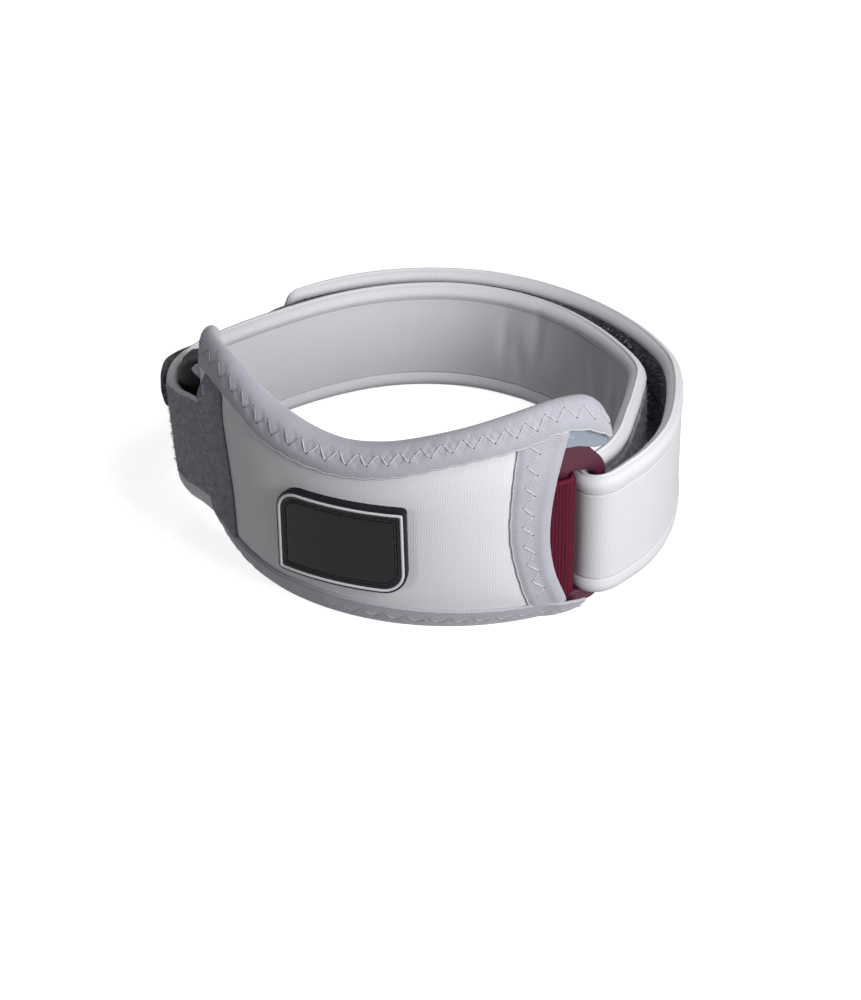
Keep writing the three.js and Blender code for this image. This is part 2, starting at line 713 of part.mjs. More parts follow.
const PIECES = [
  ['front_pad', frontPad, FINISHES.foam],
  ['front_cover', frontCover, FINISHES.knit],
  ['stiffener_plate', stiffenerPlate, FINISHES.plate],
  ['top_binding', topBinding, FINISHES.tape],
  ['bottom_binding', bottomBinding, FINISHES.tape],
  ['right_edge_binding', rightEdgeBinding, FINISHES.tape],
  ['left_edge_binding', leftEdgeBinding, FINISHES.tape],
  ['badge', badge, FINISHES.rubber],
  ['badge_line', badgeLine, FINISHES.line],
  ['ring', ring, FINISHES.moulding],
  ['ring_webbing', ringWebbing, FINISHES.webbing],
  ['strap', strap, FINISHES.knit],
  ['strap_pile', strapPile, FINISHES.velour],
  ['hook_strip', hookStrip, FINISHES.hook],
];

const brace = new THREE.Group();
brace.name = 'patellar_knee_brace';
const pieces = new THREE.Group();
pieces.name = 'pieces';
for (const [name, make, finish] of PIECES) {
  const mesh = new THREE.Mesh(make(), new THREE.MeshStandardMaterial(finish));
  mesh.name = name;
  pieces.add(mesh);
}
const box = new THREE.Box3().setFromObject(pieces);
const middle = box.getCenter(new THREE.Vector3());
pieces.position.set(-middle.x, -middle.y, -box.min.z);
brace.add(pieces);

export default brace;
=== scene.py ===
import math

import bmesh
import bpy
import numpy as np
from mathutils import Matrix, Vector


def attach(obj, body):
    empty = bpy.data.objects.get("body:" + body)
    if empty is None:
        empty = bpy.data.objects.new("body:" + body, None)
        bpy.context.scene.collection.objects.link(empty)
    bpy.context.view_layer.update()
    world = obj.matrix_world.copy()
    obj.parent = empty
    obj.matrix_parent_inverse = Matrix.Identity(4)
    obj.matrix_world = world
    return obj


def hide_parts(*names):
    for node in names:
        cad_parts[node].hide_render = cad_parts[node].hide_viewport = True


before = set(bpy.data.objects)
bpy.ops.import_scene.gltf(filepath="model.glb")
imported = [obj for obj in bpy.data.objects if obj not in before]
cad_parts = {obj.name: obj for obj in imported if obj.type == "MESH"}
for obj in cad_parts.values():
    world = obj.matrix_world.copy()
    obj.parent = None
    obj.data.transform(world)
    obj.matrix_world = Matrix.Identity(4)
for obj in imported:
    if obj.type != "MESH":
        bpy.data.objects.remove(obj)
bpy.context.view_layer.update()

# Driving sizes in millimetres and degrees, about the leg's axis; the frame is in metres.
MM = 0.001
PLAN_ORIGIN = np.array([0.389, -0.370, 0.0])
PAD_AXIS = np.array([3.0, 3.5])
THIN = 1.1
FLARE_HEIGHT = 55.0
PLATE_MIDDLE = 1.05
PLATE_HALF = 0.55
PLATE_BEND = 3.4
END_START = -52.0
END_TIP = -75.0
END_SWELL = 8.0
COVER_BACK = 1.95
COVER = 0.8
COVER_SWELL = 0.25
COVER_ARC = 58
PAD_ARC = 52
TAPE_ARC = 60
TAPE_BACK = 2.85
TAPE = 0.8
TAPE_MIDDLE = TAPE_BACK + TAPE / 2
LEG_ROOM = 0.3 + TAPE / 2
CROWN_ROOM = 0.7
FOOT_BEND = 1.0
STRAP_WIDTH = 31.0
STRAP_CREASE = 4.4
CREASE_DEPTH = 0.75
CREASE_WIDTH = 0.12
STRAP_CORNER = 4.0
WRINKLED = (134, 210)
PILE_FACE = 1.45
PILE = 0.8
PILE_MARGIN = 5.2
PILE_START = -38.0
FIBRES = 6000
FIBRE_RADIUS = 0.055
STRAP_START = -36.8
SPOT_STEP = 0.9
HOOK_MARGIN = 3.0
HOOK_TAB_MARGIN = 5.0
TAB_RAISE = 8.0
HOOK_START = 96.0
HOOK_BASE = 0.5
HOOK_CORNER = 6.0
RING_RADIUS = 54.4
RING_BAR = 1.6
HELD_BAR_ANGLE = 52.9
FREE_BAR_ANGLE = 63.7
FOLD_RADIUS = 4.6
FOLD_FOOT = 3.5
WEB_RADIUS = 2.6
WEB_HALF = 0.5
WEB_START = 44.3
WEB_BOTTOM = 5.6
WEB_TOP = 36.6
WEB_COLUMN = 0.84
WEB_STITCH = 0.66
ZIGZAG_PERIOD = 4.7
RIGHT_PERIOD = 5.3
TOP_SEWN = (3.2, 5.8)
FOOT_SEWN = (2.4, 5.4)
RIGHT_SEWN = (-5.4, -2.8)
SEAM_SEWN = (-3.0, -0.7)
# Stitches at the top tape's left end sewn with the darker thread, which is painted shade.
PAINTED_SHADE_STITCHES = 9
CLOTH_SCALE = 10.0
CLOTH_PRESSURE = 30.0
CLOTH_FRAMES = 20
CLOTH_CAP = 1.0
THREAD = 0.19
ODD_DIRECTION = (0.31, 0.17, 0.93)


def table(columns, *rows):
    """Named columns of a short table."""
    return dict(zip(columns.split(), np.array(rows, float).T))


def four_sides(**sides):
    """Four-sided outline: angle and height at shares of each side."""
    return {name: table("at angle z", *rows) for name, rows in sides.items()}


# Radii of the padding's leg side and front about the pad's axis, from the floor up.
WALL = table(
    "z leg face",
    (0, 50.4, 51.5), (2, 50.8, 53.4), (5, 51.4, 55.6), (11, 52.2, 57.0),
    (25, 52.8, 57.6), (40, 53.2, 57.2), (50, 53.8, 55.6), (62, 53.8, 55.0),
)
# How full the padding is along the pad, and how far its top leans out.
FULLNESS = table(
    "angle part flare",
    (-76, 0.45, 1.2), (-58, 0.5, 1.4), (-52, 0.55, 2.0), (-46, 0.63, 3.1), (-35, 0.8, 3.0),
    (-10, 1, 0.6), (10, 1, 0), (30, 1, 0), (66, 1, 1.0),
)
PAD_OUTLINE = four_sides(
    bottom=[
        (0, -50, 12.2), (0.07, -43.5, 9.8), (0.14, -37, 7.7), (0.2, -31.5, 5.7),
        (0.31, -21, 2.2), (0.41, -12, 1.3), (0.5, -3, 1.3), (1, 43, 1.3),
    ],
    top=[
        (0, -52, 54.4), (0.03, -49.6, 55.7), (0.06, -47, 56.1), (0.15, -36, 56), (0.22, -27.6, 53.2),
        (0.3, -18, 49.4), (0.43, -3, 46.4), (0.53, 9, 47.4), (0.67, 25, 51.3), (0.86, 47, 56.5),
        (0.93, 57, 56.4), (0.97, 62, 53.2), (1, 64, 48.4),
    ],
    left=[(0, -50, 12.2), (0.4, -51, 28), (1, -52, 54.4)],
    right=[
        (0, 43, 1.3), (0.6, 43, 36), (0.72, 44.5, 45), (0.82, 51.5, 49.2), (0.92, 58.5, 47.8),
        (1, 64, 48.4),
    ],
)
# Foot and top of the pad's end behind the strap.
PAD_END = table(
    "angle low high",
    (-75, 25.4, 27.6), (-74.2, 21.8, 31), (-69.5, 17.5, 34.4), (-63, 15.2, 36.2), (-58, 14.2, 38.6),
    (-54.5, 13.6, 43), (-52, 13.2, 49), (-47, 12.8, 50),
)
COVER_OUTLINE = four_sides(
    bottom=[
        (0, -49, 14), (0.07, -42, 11), (0.14, -35.6, 8.6), (0.22, -28, 5.8), (0.3, -20, 3.4),
        (0.4, -10, 2.6), (0.86, 37, 2.6), (1, 51.2, 5),
    ],
    top=[
        (0, -50, 47.2), (0.05, -46, 48.3), (0.15, -36, 50.5), (0.32, -18, 44.8), (0.46, -3, 42.9),
        (0.57, 9, 44), (0.74, 25, 48.1), (1, 51, 50.8),
    ],
    left=[(0, -49, 14), (1, -50, 47.2)],
    right=[(0, 51.2, 5), (0.2, 47.3, 15), (0.42, 45.8, 26), (0.7, 47.2, 39), (1, 51, 50.8)],
)
PLATE_OUTLINE = four_sides(
    bottom=[(0, -48, 18), (1, 41, 14)],
    top=[
        (0, -50, 46.4), (0.08, -44.5, 49), (0.2, -36, 51), (0.46, -3, 43.6), (0.7, 25, 48.6), (0.9, 47, 53),
        (0.96, 55, 52.6), (1, 63.2, 48.2),
    ],
    left=[
        (0, -48, 18), (0.55, -50, 37), (0.68, -51, 39.8), (0.76, -53.8, 40.8), (0.83, -55.4, 42.3),
        (0.89, -54, 44), (0.95, -51.4, 45.2), (1, -50, 46.4),
    ],
    right=[
        (0, 41, 14), (0.55, 41, 38), (0.72, 45.5, 45.4), (0.86, 54, 46.2), (0.95, 62, 44),
        (1, 63.2, 48.2),
    ],
)
# Lower edge of the tape over the pad's top.
TOP_TAPE = table(
    "angle edge",
    (-53, 49.6), (-47, 50.4), (-41, 50.9), (-36, 50.6), (-28, 47.6), (-20, 43.8), (-3, 41.4),
    (10, 42.6), (25, 46.6), (44, 50.4), (49, 51.9), (54, 51.7), (58, 50.3), (61, 48.4), (64, 46.2),
)
# Rise of the tape under the pad's foot, and its upper edge.
FOOT_TAPE = table(
    "angle rise edge",
    (-44, 8.2, 10.4), (-40, 7.5, 11), (-33, 5, 10), (-26, 2.5, 8.6), (-18, 0, 7.4), (-10, 0, 7.6),
    (30, 0, 6.4), (46, 0, 5.8), (52, 0.1, 5.1), (56.8, 0.5, 4.3),
)
# Inner edge of the tape down the cover's bowed right side.
RIGHT_TAPE = table("z edge", (5, 43.8), (12, 41.2), (26, 38.4), (40, 38.9), (50, 40.4))
# Edges of the tape over the strap's sewn end.
SEAM_TAPE = table(
    "z left right",
    (8, -33.4, -31), (11, -35.2, -31.6), (15, -36.4, -31.3), (22, -38, -31.3), (34, -39.6, -32.6),
    (44, -40.4, -34.2), (53.4, -40.2, -34.6),
)
# Strap round the leg from its seam to the ring: radii of its two edges, height and fullness.
INNER_RUN = table(
    "angle low high foot full",
    (-31, 56.2, 57.6, 13, 0.3), (-37, 56, 57.6, 12.6, 0.4), (-47, 56.2, 58.6, 10.4, 0.46),
    (-57, 57, 60.2, 6.4, 0.62), (-66, 59.2, 61.6, 4.8, 0.72), (-75, 59.2, 60.8, 3.8, 0.84),
    (-86, 57.7, 57.8, 2.6, 0.9), (-98, 55.6, 54.6, 1.4, 1), (-112, 54.6, 52.4, 0.4, 1),
    (-128, 54.2, 51.6, 0, 1), (-146, 54.4, 51.4, 0, 1), (-165, 53.8, 51.7, 0, 1),
    (-187, 51.6, 51.2, 0, 1), (-205, 50.6, 50.5, 0, 1), (-219, 50.4, 50.4, 0.2, 1),
    (-229, 50.6, 50.7, 0.8, 1), (-235, 50.4, 50.6, 1.2, 1), (-241, 49.2, 49.3, 1.6, 1),
    (-250, 48.1, 48.1, 2.4, 1), (-262, 48.1, 48.1, 3.4, 1), (-272, 49.6, 49.6, 3.7, 1),
    (-282, 51, 51, 3.8, 1),
)
# Strap from the ring back over itself.
OUTER_RUN = table(
    "angle low high foot full",
    (78, 60.5, 60.5, 3.7, 1), (90, 59.6, 59.8, 3.5, 1), (104, 58.2, 58.4, 3, 1),
    (114, 58.1, 58.3, 2.6, 1), (122, 58.5, 58.8, 2.2, 1), (129, 59, 59.2, 1.7, 1),
    (136, 58.7, 58.8, 1.4, 1), (152, 58.2, 57.9, 1, 1), (170, 58.7, 58, 0.5, 1),
    (190, 59.8, 58.4, 0.4, 1), (205, 60.4, 58.2, 0.4, 1),
    (222, 60.4, 57.9, 0.5, 1), (234, 60.4, 57.7, 0.6, 0.85), (243, 60.5, 57.8, 0.8, 0.55),
)
# Free tab of the hook strip past the strap's end.
HOOK_TAB = table(
    "angle low high foot full",
    (248, 58.4, 56.6, 0.8, 1), (262, 59, 58.3, 2, 1), (272, 61, 61.2, 3.8, 1),
    (281, 62.5, 64, 6, 1), (289, 63, 65.8, 7.6, 1),
)
# Half thickness of the strap up its width, on the run round the leg and past the ring.
STRAP_SECTION = table(
    "up round past",
    (0.3, 0.3, 0.3), (0.6, 1.05, 1.05), (1.2, 1.7, 1.65), (2.2, 2.15, 1.95), (3.2, 1.9, 1.9),
    (4.4, 1.25, 1.75), (7, 1.15, 1.7), (24, 1.15, 1.7), (26.6, 1.25, 1.75), (27.8, 1.9, 1.9),
    (28.8, 2.15, 1.95), (29.8, 1.7, 1.65), (30.4, 1.05, 1.05), (30.7, 0.3, 0.3),
)
BADGE = {
    "width": 32, "height": 22.5, "depth": 2.2, "angle": 1.1, "z": 23.75, "roll": 1.5, "radius": 60.6,
}
BADGE_GROOVE = 2.5
BADGE_STITCH = 2.3
BADGE_CORNERS = {"top_left": 6, "top_right": 1.2, "bottom_right": 6, "bottom_left": 1.2}
RING = {"bottom": 0.7, "top": 48.2, "corner": 4.6, "tip": 6.8, "droop": 6.8}
RING_SLOT = {"bottom": 4.6, "top": 37.6, "corner": 1.4, "tip": 2.6, "droop": 1.6}


def read(rows, column, at, key=None):
    """Smooth value of a table's column at positions in its first column, or in another one by name."""
    x, y = rows[key or next(iter(rows))], rows[column]
    if x[0] > x[-1]:
        x, y = x[::-1], y[::-1]
    at = np.asarray(at, float)
    i = np.clip(np.searchsorted(x, at) - 1, 0, len(x) - 2)
    before, after = np.maximum(i - 1, 0), np.minimum(i + 2, len(x) - 1)
    span = x[i + 1] - x[i]
    t = np.clip((at - x[i]) / span, 0, 1)
    start = (y[i + 1] - y[before]) / (x[i + 1] - x[before]) * span
    end = (y[after] - y[i]) / (x[after] - x[i]) * span
    return (
        (2 * t**3 - 3 * t**2 + 1) * y[i] + (t**3 - 2 * t**2 + t) * start
        + (3 * t**2 - 2 * t**3) * y[i + 1] + (t**3 - t**2) * end
    )


def smooth(t):
    """Smooth step from 0 to 1."""
    t = np.clip(t, 0, 1)
    return t * t * (3 - 2 * t)


def bell(distance, width):
    return np.exp(-((distance / width) ** 2))


def bezier(t, first, second, third, last):
    return (1 - t) ** 3 * first + 3 * t * (1 - t) ** 2 * second + 3 * t**2 * (1 - t) * third + t**3 * last


def leg_radius(angle, z):
    lean = read(FULLNESS, "flare", angle) * (z / FLARE_HEIGHT) ** 2
    return read(WALL, "leg", z) + lean


def face_radius(angle, z):
    padding = read(WALL, "face", z) - read(WALL, "leg", z) - THIN
    return leg_radius(angle, z) + THIN + padding * read(FULLNESS, "part", angle)


def on_pad(angle, radius, z):
    """Points about the pad's axis."""
    angle, radius, z = np.broadcast_arrays(np.radians(angle), radius, z)
    return np.stack(
        [PAD_AXIS[0] + radius * np.sin(angle), PAD_AXIS[1] - radius * np.cos(angle), z], -1
    )


def patch(outline, across, up):
    """Angles and heights inside a four-sided outline, blended from its edges."""
    s, t = np.meshgrid(np.linspace(0, 1, across), np.linspace(0, 1, up), indexing="ij")

    def blend(column):
        bottom, top = (read(outline[k], column, s) for k in ("bottom", "top"))
        left, right = (read(outline[k], column, t) for k in ("left", "right"))
        low, high = outline["bottom"][column], outline["top"][column]
        sides = (1 - t) * bottom + t * top + (1 - s) * left + s * right
        corners = (1 - t) * ((1 - s) * low[0] + s * low[-1]) + t * ((1 - s) * high[0] + s * high[-1])
        return sides - corners

    return blend("angle"), blend("z")


def shares(count):
    """Even shares from 0 to 1, as a row."""
    return np.linspace(0, 1, count)[None, :]


def unit(vectors):
    return vectors / np.maximum(np.linalg.norm(vectors, axis=-1, keepdims=True), 1e-9)


def square_to(direction):
    """Two directions square to a direction and to each other."""
    side = unit(np.cross(direction, ODD_DIRECTION))
    return side, np.cross(direction, side)


def grid_normals(grid):
    return unit(np.cross(np.gradient(grid, axis=0), np.gradient(grid, axis=1)))


def run_lengths(grid, axis):
    """Distance along a grid's rows or columns, in millimetres."""
    steps = np.linalg.norm(np.diff(grid, axis=axis), axis=-1)
    return np.concatenate([np.zeros_like(np.take(steps, [0], axis)), np.cumsum(steps, axis)], axis)


def resampled(values, at, spots):
    """Rows of values along a line, at other spots along it."""
    return np.stack([np.interp(spots, at, column) for column in values.T], -1)


class Skin:
    """One face of a cloth piece, in millimetres along it and across it, from the far edge if below 0."""

    def __init__(self, points):
        self.points = points
        self.normals = grid_normals(points)
        self.along = run_lengths(points, 0).mean(1)
        self.across = run_lengths(points, 1)

    def at(self, along, across):
        i = float(np.interp(along, self.along, np.arange(len(self.along))))
        row = min(int(i), len(self.along) - 2)
        f = i - row
        found = []
        for k in (row, row + 1):
            place = across if across >= 0 else self.across[k, -1] + across
            j = float(np.interp(place, self.across[k], np.arange(self.across.shape[1])))
            col = min(int(j), self.across.shape[1] - 2)
            g = j - col
            found.append([(1 - g) * a[k, col] + g * a[k, col + 1] for a in (self.points, self.normals)])
        point, normal = ((1 - f) * a + f * b for a, b in zip(*found))
        return point, unit(normal)


# Meshes


def placed(name, data):
    """A new object in the scene."""
    made = bpy.data.objects.new(name, data)
    bpy.context.scene.collection.objects.link(made)
    return made


def add_mesh(name, points, faces, uv=None, materials=(), face_materials=None):
    """A smooth mesh object from points in millimetres, with uv in millimetres of cloth."""
    mesh = bpy.data.meshes.new(name)
    world = (np.asarray(points).reshape(-1, 3) + PLAN_ORIGIN) * MM
    mesh.from_pydata(world.tolist(), [], [list(map(int, f)) for f in faces])
    if uv is not None:
        corners = np.zeros(len(mesh.loops), np.int32)
        mesh.loops.foreach_get("vertex_index", corners)
        layer = mesh.uv_layers.new(name="cloth")
        layer.data.foreach_set("uv", np.asarray(uv, np.float32).reshape(-1, 2)[corners].ravel())
    for material in materials:
        mesh.materials.append(material)
    if face_materials is not None:
        mesh.polygons.foreach_set("material_index", np.asarray(face_materials, np.int32))
    tidy = bmesh.new()
    tidy.from_mesh(mesh)
    bmesh.ops.recalc_face_normals(tidy, faces=tidy.faces)
    tidy.to_mesh(mesh)
    tidy.free()
    mesh.polygons.foreach_set("use_smooth", np.ones(len(mesh.polygons), bool))
    return placed(name, mesh)


def tube_faces(rows, cols, start=0, closed=False):
    """Quads of a tube of equal closed sections, which may close on itself."""
    faces = []
    for i in range(rows if closed else rows - 1):
        a, b = start + i * cols, start + ((i + 1) % rows) * cols
        for j in range(cols):
            k = (j + 1) % cols
            faces.append((a + j, b + j, b + k, a + k))
    return faces


def quilt(name, middle, front, back, uv=None, materials=(), rim=5):
    """A closed cloth piece about a middle sheet, with rounded edges all round."""
    shape = middle.shape[:2]
    front, back = np.broadcast_to(front, shape), np.broadcast_to(back, shape)
    if uv is None:
        uv = np.stack([run_lengths(middle, 0), run_lengths(middle, 1)], -1)
    for side in (0, -1):
        middle, front, back, uv = round_end(middle, front, back, uv, side, rim)
    normals = grid_normals(middle)
    top = middle + normals * front[..., None]
    low = middle - normals * back[..., None]
    loops, flat = [], []
    for side, face, order in ((-1, top, 1), (0, low, -1)):
        centre, across = (top[:, side] + low[:, side]) / 2, top[:, side] - low[:, side]
        radius = np.linalg.norm(across, axis=-1, keepdims=True) / 2
        out = unit(middle[:, side] - middle[:, side - 1 if side else 1])
        turns = np.radians(np.linspace(90, -90, rim + 2)[1:-1])[::order]
        cap = [centre + radius * (normals[:, side] * math.sin(a) + out * math.cos(a)) for a in turns]
        loops += [face[:, ::order], np.stack(cap, 1)]
        flat += [uv[:, ::order], np.repeat(uv[:, [side]], rim, 1)]
    sections, flat = np.concatenate(loops, 1), np.concatenate(flat, 1)
    rows, cols = sections.shape[:2]
    faces = tube_faces(rows, cols)
    count = middle.shape[1]
    for i in (0, rows - 1):
        for j in range(count - 1):
            a, b = i * cols + j, i * cols + 2 * count + rim - 1 - j
            faces.append((a, a + 1, b - 1, b))
        edge = i * cols + count
        faces.append((edge - 1, *range(edge, edge + rim), edge + rim))
        edge += count + rim
        faces.append((edge - 1, *range(edge, edge + rim), i * cols))
    kinds = None
    if len(materials) > 1:
        turned = rim // 2 + 1
        lining = [count + rim - turned <= j < 2 * count + rim - 1 + turned for j in range(cols)]
        kinds = lining * (rows - 1)
        kinds += [False] * (len(faces) - len(kinds))
    made = add_mesh(name, sections, faces, flat, materials, kinds)
    return made, Skin(top)


def round_end(middle, front, back, uv, side, rim):
    """Extra rows that round a sheet's first or last row off."""
    step = 1 if side == 0 else -2
    away = unit(middle[side] - middle[step])
    reach = (front[side] + back[side]) / 2
    tilt = (front[side] - back[side]) / 2
    rows = []
    for turn in np.radians(np.linspace(0, 84, rim + 1)[1:]):
        half = reach * math.cos(turn)
        place = middle[side] + away * (reach * math.sin(turn))[:, None]
        rows.append((place, half + tilt, half - tilt, uv[side]))
    kept = (middle, front, back, uv)
    if side == 0:
        added = [np.stack(new) for new in zip(*rows[::-1])]
        return tuple(np.concatenate(pair) for pair in zip(added, kept))
    added = [np.stack(new) for new in zip(*rows)]
    return tuple(np.concatenate(pair) for pair in zip(kept, added))


class Threads:
    """Short lengths of thread gathered into one mesh, with dark cups at the needle holes they go through,
    their colour painted shade.
    """

    def __init__(self, sides=7):
        self.sides = sides
        self.points, self.faces, self.kinds, self.count = [], [], [], 0

    def add(self, path, radius, kind=0, sides=None):
        """A tube along a path, its ends closed; radius may taper."""
        sides = sides or self.sides
        path = np.asarray(path)
        radius = np.broadcast_to(radius, len(path))
        tangent = unit(np.gradient(path, axis=0))
        side, other = square_to(tangent)
        turn = np.linspace(0, 2 * math.pi, sides, endpoint=False)
        ring = side[:, None] * np.cos(turn)[None, :, None] + other[:, None] * np.sin(turn)[None, :, None]
        faces = tube_faces(len(path), sides, self.count)
        for first in (self.count, self.count + (len(path) - 1) * sides):
            faces.append(tuple(range(first, first + sides)))
        self.points.append((path[:, None] + ring * radius[:, None, None]).reshape(-1, 3))
        self.faces += faces
        self.kinds += [kind] * len(faces)
        self.count += len(path) * sides

    def hole(self, point, normal, radius):
        """A shallow cup where the needle went in, dark with painted shade of the hole."""
        self.add([point - normal * 0.05, point + normal * 0.05], np.array([1.0, 0.55]) * radius, 1, 8)

    def build(self, name, materials):
        return add_mesh(name, np.concatenate(self.points), self.faces, None, materials, self.kinds)


def zigzag(threads, skin, low, high, start, stop, period=ZIGZAG_PERIOD, kind=0, sink=0.05):
    """Zigzag sewing along a skin, between two distances from its edge."""
    steps = int(round((stop - start) / (period / 2)))
    marks = np.linspace(start, stop, steps + 1)
    for k in range(steps):
        rows = (low, high) if k % 2 else (high, low)
        path = []
        for t in np.linspace(0, 1, 9):
            along = marks[k] + (marks[k + 1] - marks[k]) * (0.06 + 0.88 * t)
            point, normal = skin.at(along, rows[0] + (rows[1] - rows[0]) * t)
            lift = THREAD * (1.15 * math.sin(math.pi * t) ** 0.6 - 0.5)
            path.append(point + normal * (lift - sink))
        threads.add(path, THREAD * (0.75 + 0.25 * np.sin(np.linspace(0, math.pi, 9))), kind)
    for k in range(steps + 1):
        point, normal = skin.at(marks[k], low if k % 2 else high)
        threads.hole(point, normal, (0.3 if k % 2 else 0.2) * (1 - 2.6 * sink))


def edge_line(threads, skin, across, start, stop, kind=3):
    """Thread along a tape's edge."""
    spots = [skin.at(along, across) for along in np.arange(start, stop, 0.28)]
    threads.add([point + normal * 0.02 for point, normal in spots], THREAD * 0.7, kind)


# Materials


def linear(red, green, blue):
    """Scene colour of an 8-bit display colour."""
    values = [c / 255 for c in (red, green, blue)]
    return tuple(c / 12.92 if c <= 0.04045 else ((c + 0.055) / 1.055) ** 2.4 for c in values) + (1.0,)


class Finish:
    """A procedural material under construction."""

    def __init__(self, name, roughness, sheen=0.0, coat=0.0, shine=0.5):
        self.material = bpy.data.materials.new(name)
        self.material.use_nodes = True
        self.tree = self.material.node_tree
        self.shader = self.tree.nodes["Principled BSDF"]
        self.set("Roughness", roughness)
        self.set("Sheen Weight", sheen)
        self.set("Sheen Roughness", 0.5)
        self.set("Coat Weight", coat)
        self.set("Coat Roughness", 0.2)
        self.set("Specular IOR Level", shine)

    def set(self, socket, value):
        self.shader.inputs[socket].default_value = value

    def node(self, kind, **values):
        made = self.tree.nodes.new(kind)
        for key, value in values.items():
            if hasattr(made, key):
                setattr(made, key, value)
            else:
                made.inputs[key].default_value = value
        return made

    def join(self, source, target):
        self.tree.links.new(source, target)

    def math(self, operation, *values):
        made = self.node("ShaderNodeMath", operation=operation)
        for slot, value in zip(made.inputs, values):
            if isinstance(value, (int, float)):
                slot.default_value = value
            else:
                self.join(value, slot)
        return made.outputs[0]

    def mix(self, *terms):
        """Sum of values, each with its weight."""
        parts = [self.math("MULTIPLY", value, weight) for value, weight in terms]
        total = parts[0]
        for part in parts[1:]:
            total = self.math("ADD", total, part)
        return total

    def cloth(self):
        """Millimetres along and across the cloth."""
        uv = self.node("ShaderNodeUVMap", uv_map="cloth")
        split = self.node("ShaderNodeSeparateXYZ")
        self.join(uv.outputs[0], split.inputs[0])
        return uv.outputs[0], split.outputs[0], split.outputs[1]

    def wave(self, distance, pitch, shift=None):
        """A sine of a distance in millimetres, from 0 to 1."""
        turns = self.math("MULTIPLY", distance, 2 * math.pi / pitch)
        if shift is not None:
            turns = self.math("ADD", turns, shift)
        return self.math("ADD", self.math("MULTIPLY", self.math("SINE", turns), 0.5), 0.5)

    def noise(self, vector, scale, detail=3.0, roughness=0.6):
        made = self.node("ShaderNodeTexNoise", Scale=scale, Detail=detail, Roughness=roughness)
        self.join(vector, made.inputs["Vector"])
        return made.outputs["Fac"]

    def object_space(self):
        return self.node("ShaderNodeTexCoord").outputs["Object"]

    def colours(self, factor, *stops):
        """Base colour by a factor, between two colours at their places."""
        ramp = self.node("ShaderNodeValToRGB")
        for element, (position, colour) in zip(ramp.color_ramp.elements, stops):
            element.position = position
            element.color = colour
        self.join(factor, ramp.inputs[0])
        self.join(ramp.outputs[0], self.shader.inputs["Base Color"])

    def bump(self, height, depth):
        made = self.node("ShaderNodeBump", Strength=1.0, Distance=depth * MM)
        self.join(height, made.inputs["Height"])
        self.join(made.outputs[0], self.shader.inputs["Normal"])


def shade(colour, factor):
    return tuple(c * factor for c in colour[:3]) + (1.0,)


def knit(name, colour, rib, course, depth, contrast, sheen=0.25):
    """Ribbed knit: fine ribs across the first cloth direction, with a small stitch along each."""
    finish = Finish(name, 0.92, sheen)
    vector, u, v = finish.cloth()
    drift = finish.math("MULTIPLY", finish.noise(vector, 0.35, 2.0), 9.0)
    ribs = finish.wave(u, rib, drift)
    stitch = finish.wave(v, course, finish.math("MULTIPLY", u, math.pi / rib))
    fuzz = finish.noise(vector, 2.2, 4.0)
    height = finish.mix((ribs, 0.6), (stitch, 0.2), (fuzz, 0.35))
    tone = finish.mix((height, 0.6), (finish.noise(vector, 0.12, 2.0), 0.4))
    finish.colours(tone, (0.2, shade(colour, 1 - contrast)), (0.8, shade(colour, 1 + 0.3 * contrast)))
    finish.bump(height, depth)
    return finish.material


def napped(name, dark, light, scale, depth, sheen):
    """Brushed pile with a mottled nap."""
    finish = Finish(name, 1.0, sheen)
    vector, _, _ = finish.cloth()
    fibre = finish.noise(vector, scale, 6.0, 0.75)
    nap = finish.noise(vector, scale * 0.16, 3.0)
    finish.colours(finish.mix((fibre, 0.5), (nap, 0.5)), (0.36, dark), (0.66, light))
    finish.bump(fibre, depth)
    return finish.material


def thread_finish(name, colour):
    finish = Finish(name, 0.85, 0.0)
    grain = finish.noise(finish.object_space(), 2600.0, 2.0)
    finish.colours(grain, (0.3, shade(colour, 0.8)), (0.7, colour))
    finish.bump(grain, 0.06)
    return finish.material


def woven(name, dark, light):
    finish = Finish(name, 0.9, shine=0.15)
    vector, _, v = finish.cloth()
    stitches = finish.wave(v, WEB_STITCH)
    yarn = finish.noise(vector, 5.0, 4.0)
    finish.colours(finish.mix((stitches, 0.45), (yarn, 0.55)), (0.25, dark), (0.75, light))
    finish.bump(yarn, 0.08)
    return finish.material


def moulded(name, colour, roughness, grain_scale, grain_depth, coat=0.0, spread=0.12, shine=0.5):
    """Moulded plastic or rubber with a fine grain and faint tone changes."""
    finish = Finish(name, roughness, 0.0, coat, shine)
    place = finish.object_space()
    grain = finish.noise(place, grain_scale, 3.0)
    cloud = finish.noise(place, 60.0, 2.0)
    tone = finish.mix((grain, 0.4), (cloud, 0.6))
    finish.colours(tone, (0.3, shade(colour, 1 - spread)), (0.7, shade(colour, 1 + spread)))
    finish.bump(grain, grain_depth)
    return finish.material


COVER_KNIT = knit("cover_knit", linear(226, 225, 229), 0.58, 0.9, 0.035, 0.06)
STRAP_KNIT = knit("strap_knit", linear(220, 220, 224), 0.58, 0.9, 0.03, 0.05)
TAPE_KNIT = knit("tape_knit", linear(186, 186, 197), 0.46, 0.62, 0.06, 0.28, 0.4)
# Dark foam of the padding; its darkness is painted shade where the pad's end shows in the gap behind the
# strap.
PAD_FOAM_PAINTED_SHADE = moulded("pad_foam", linear(44, 43, 48), 0.9, 1500.0, 0.15, 0.0, 0.2)
LINING_KNIT = knit("lining_knit", linear(205, 205, 210), 0.8, 1.0, 0.09, 0.1, 0.3)
SEAM_NAP = napped("seam_nap", linear(104, 102, 116), linear(156, 154, 168), 4.0, 0.25, 0.3)
VELOUR = napped("velour", linear(66, 58, 80), linear(194, 186, 210), 2.6, 0.7, 0.8)
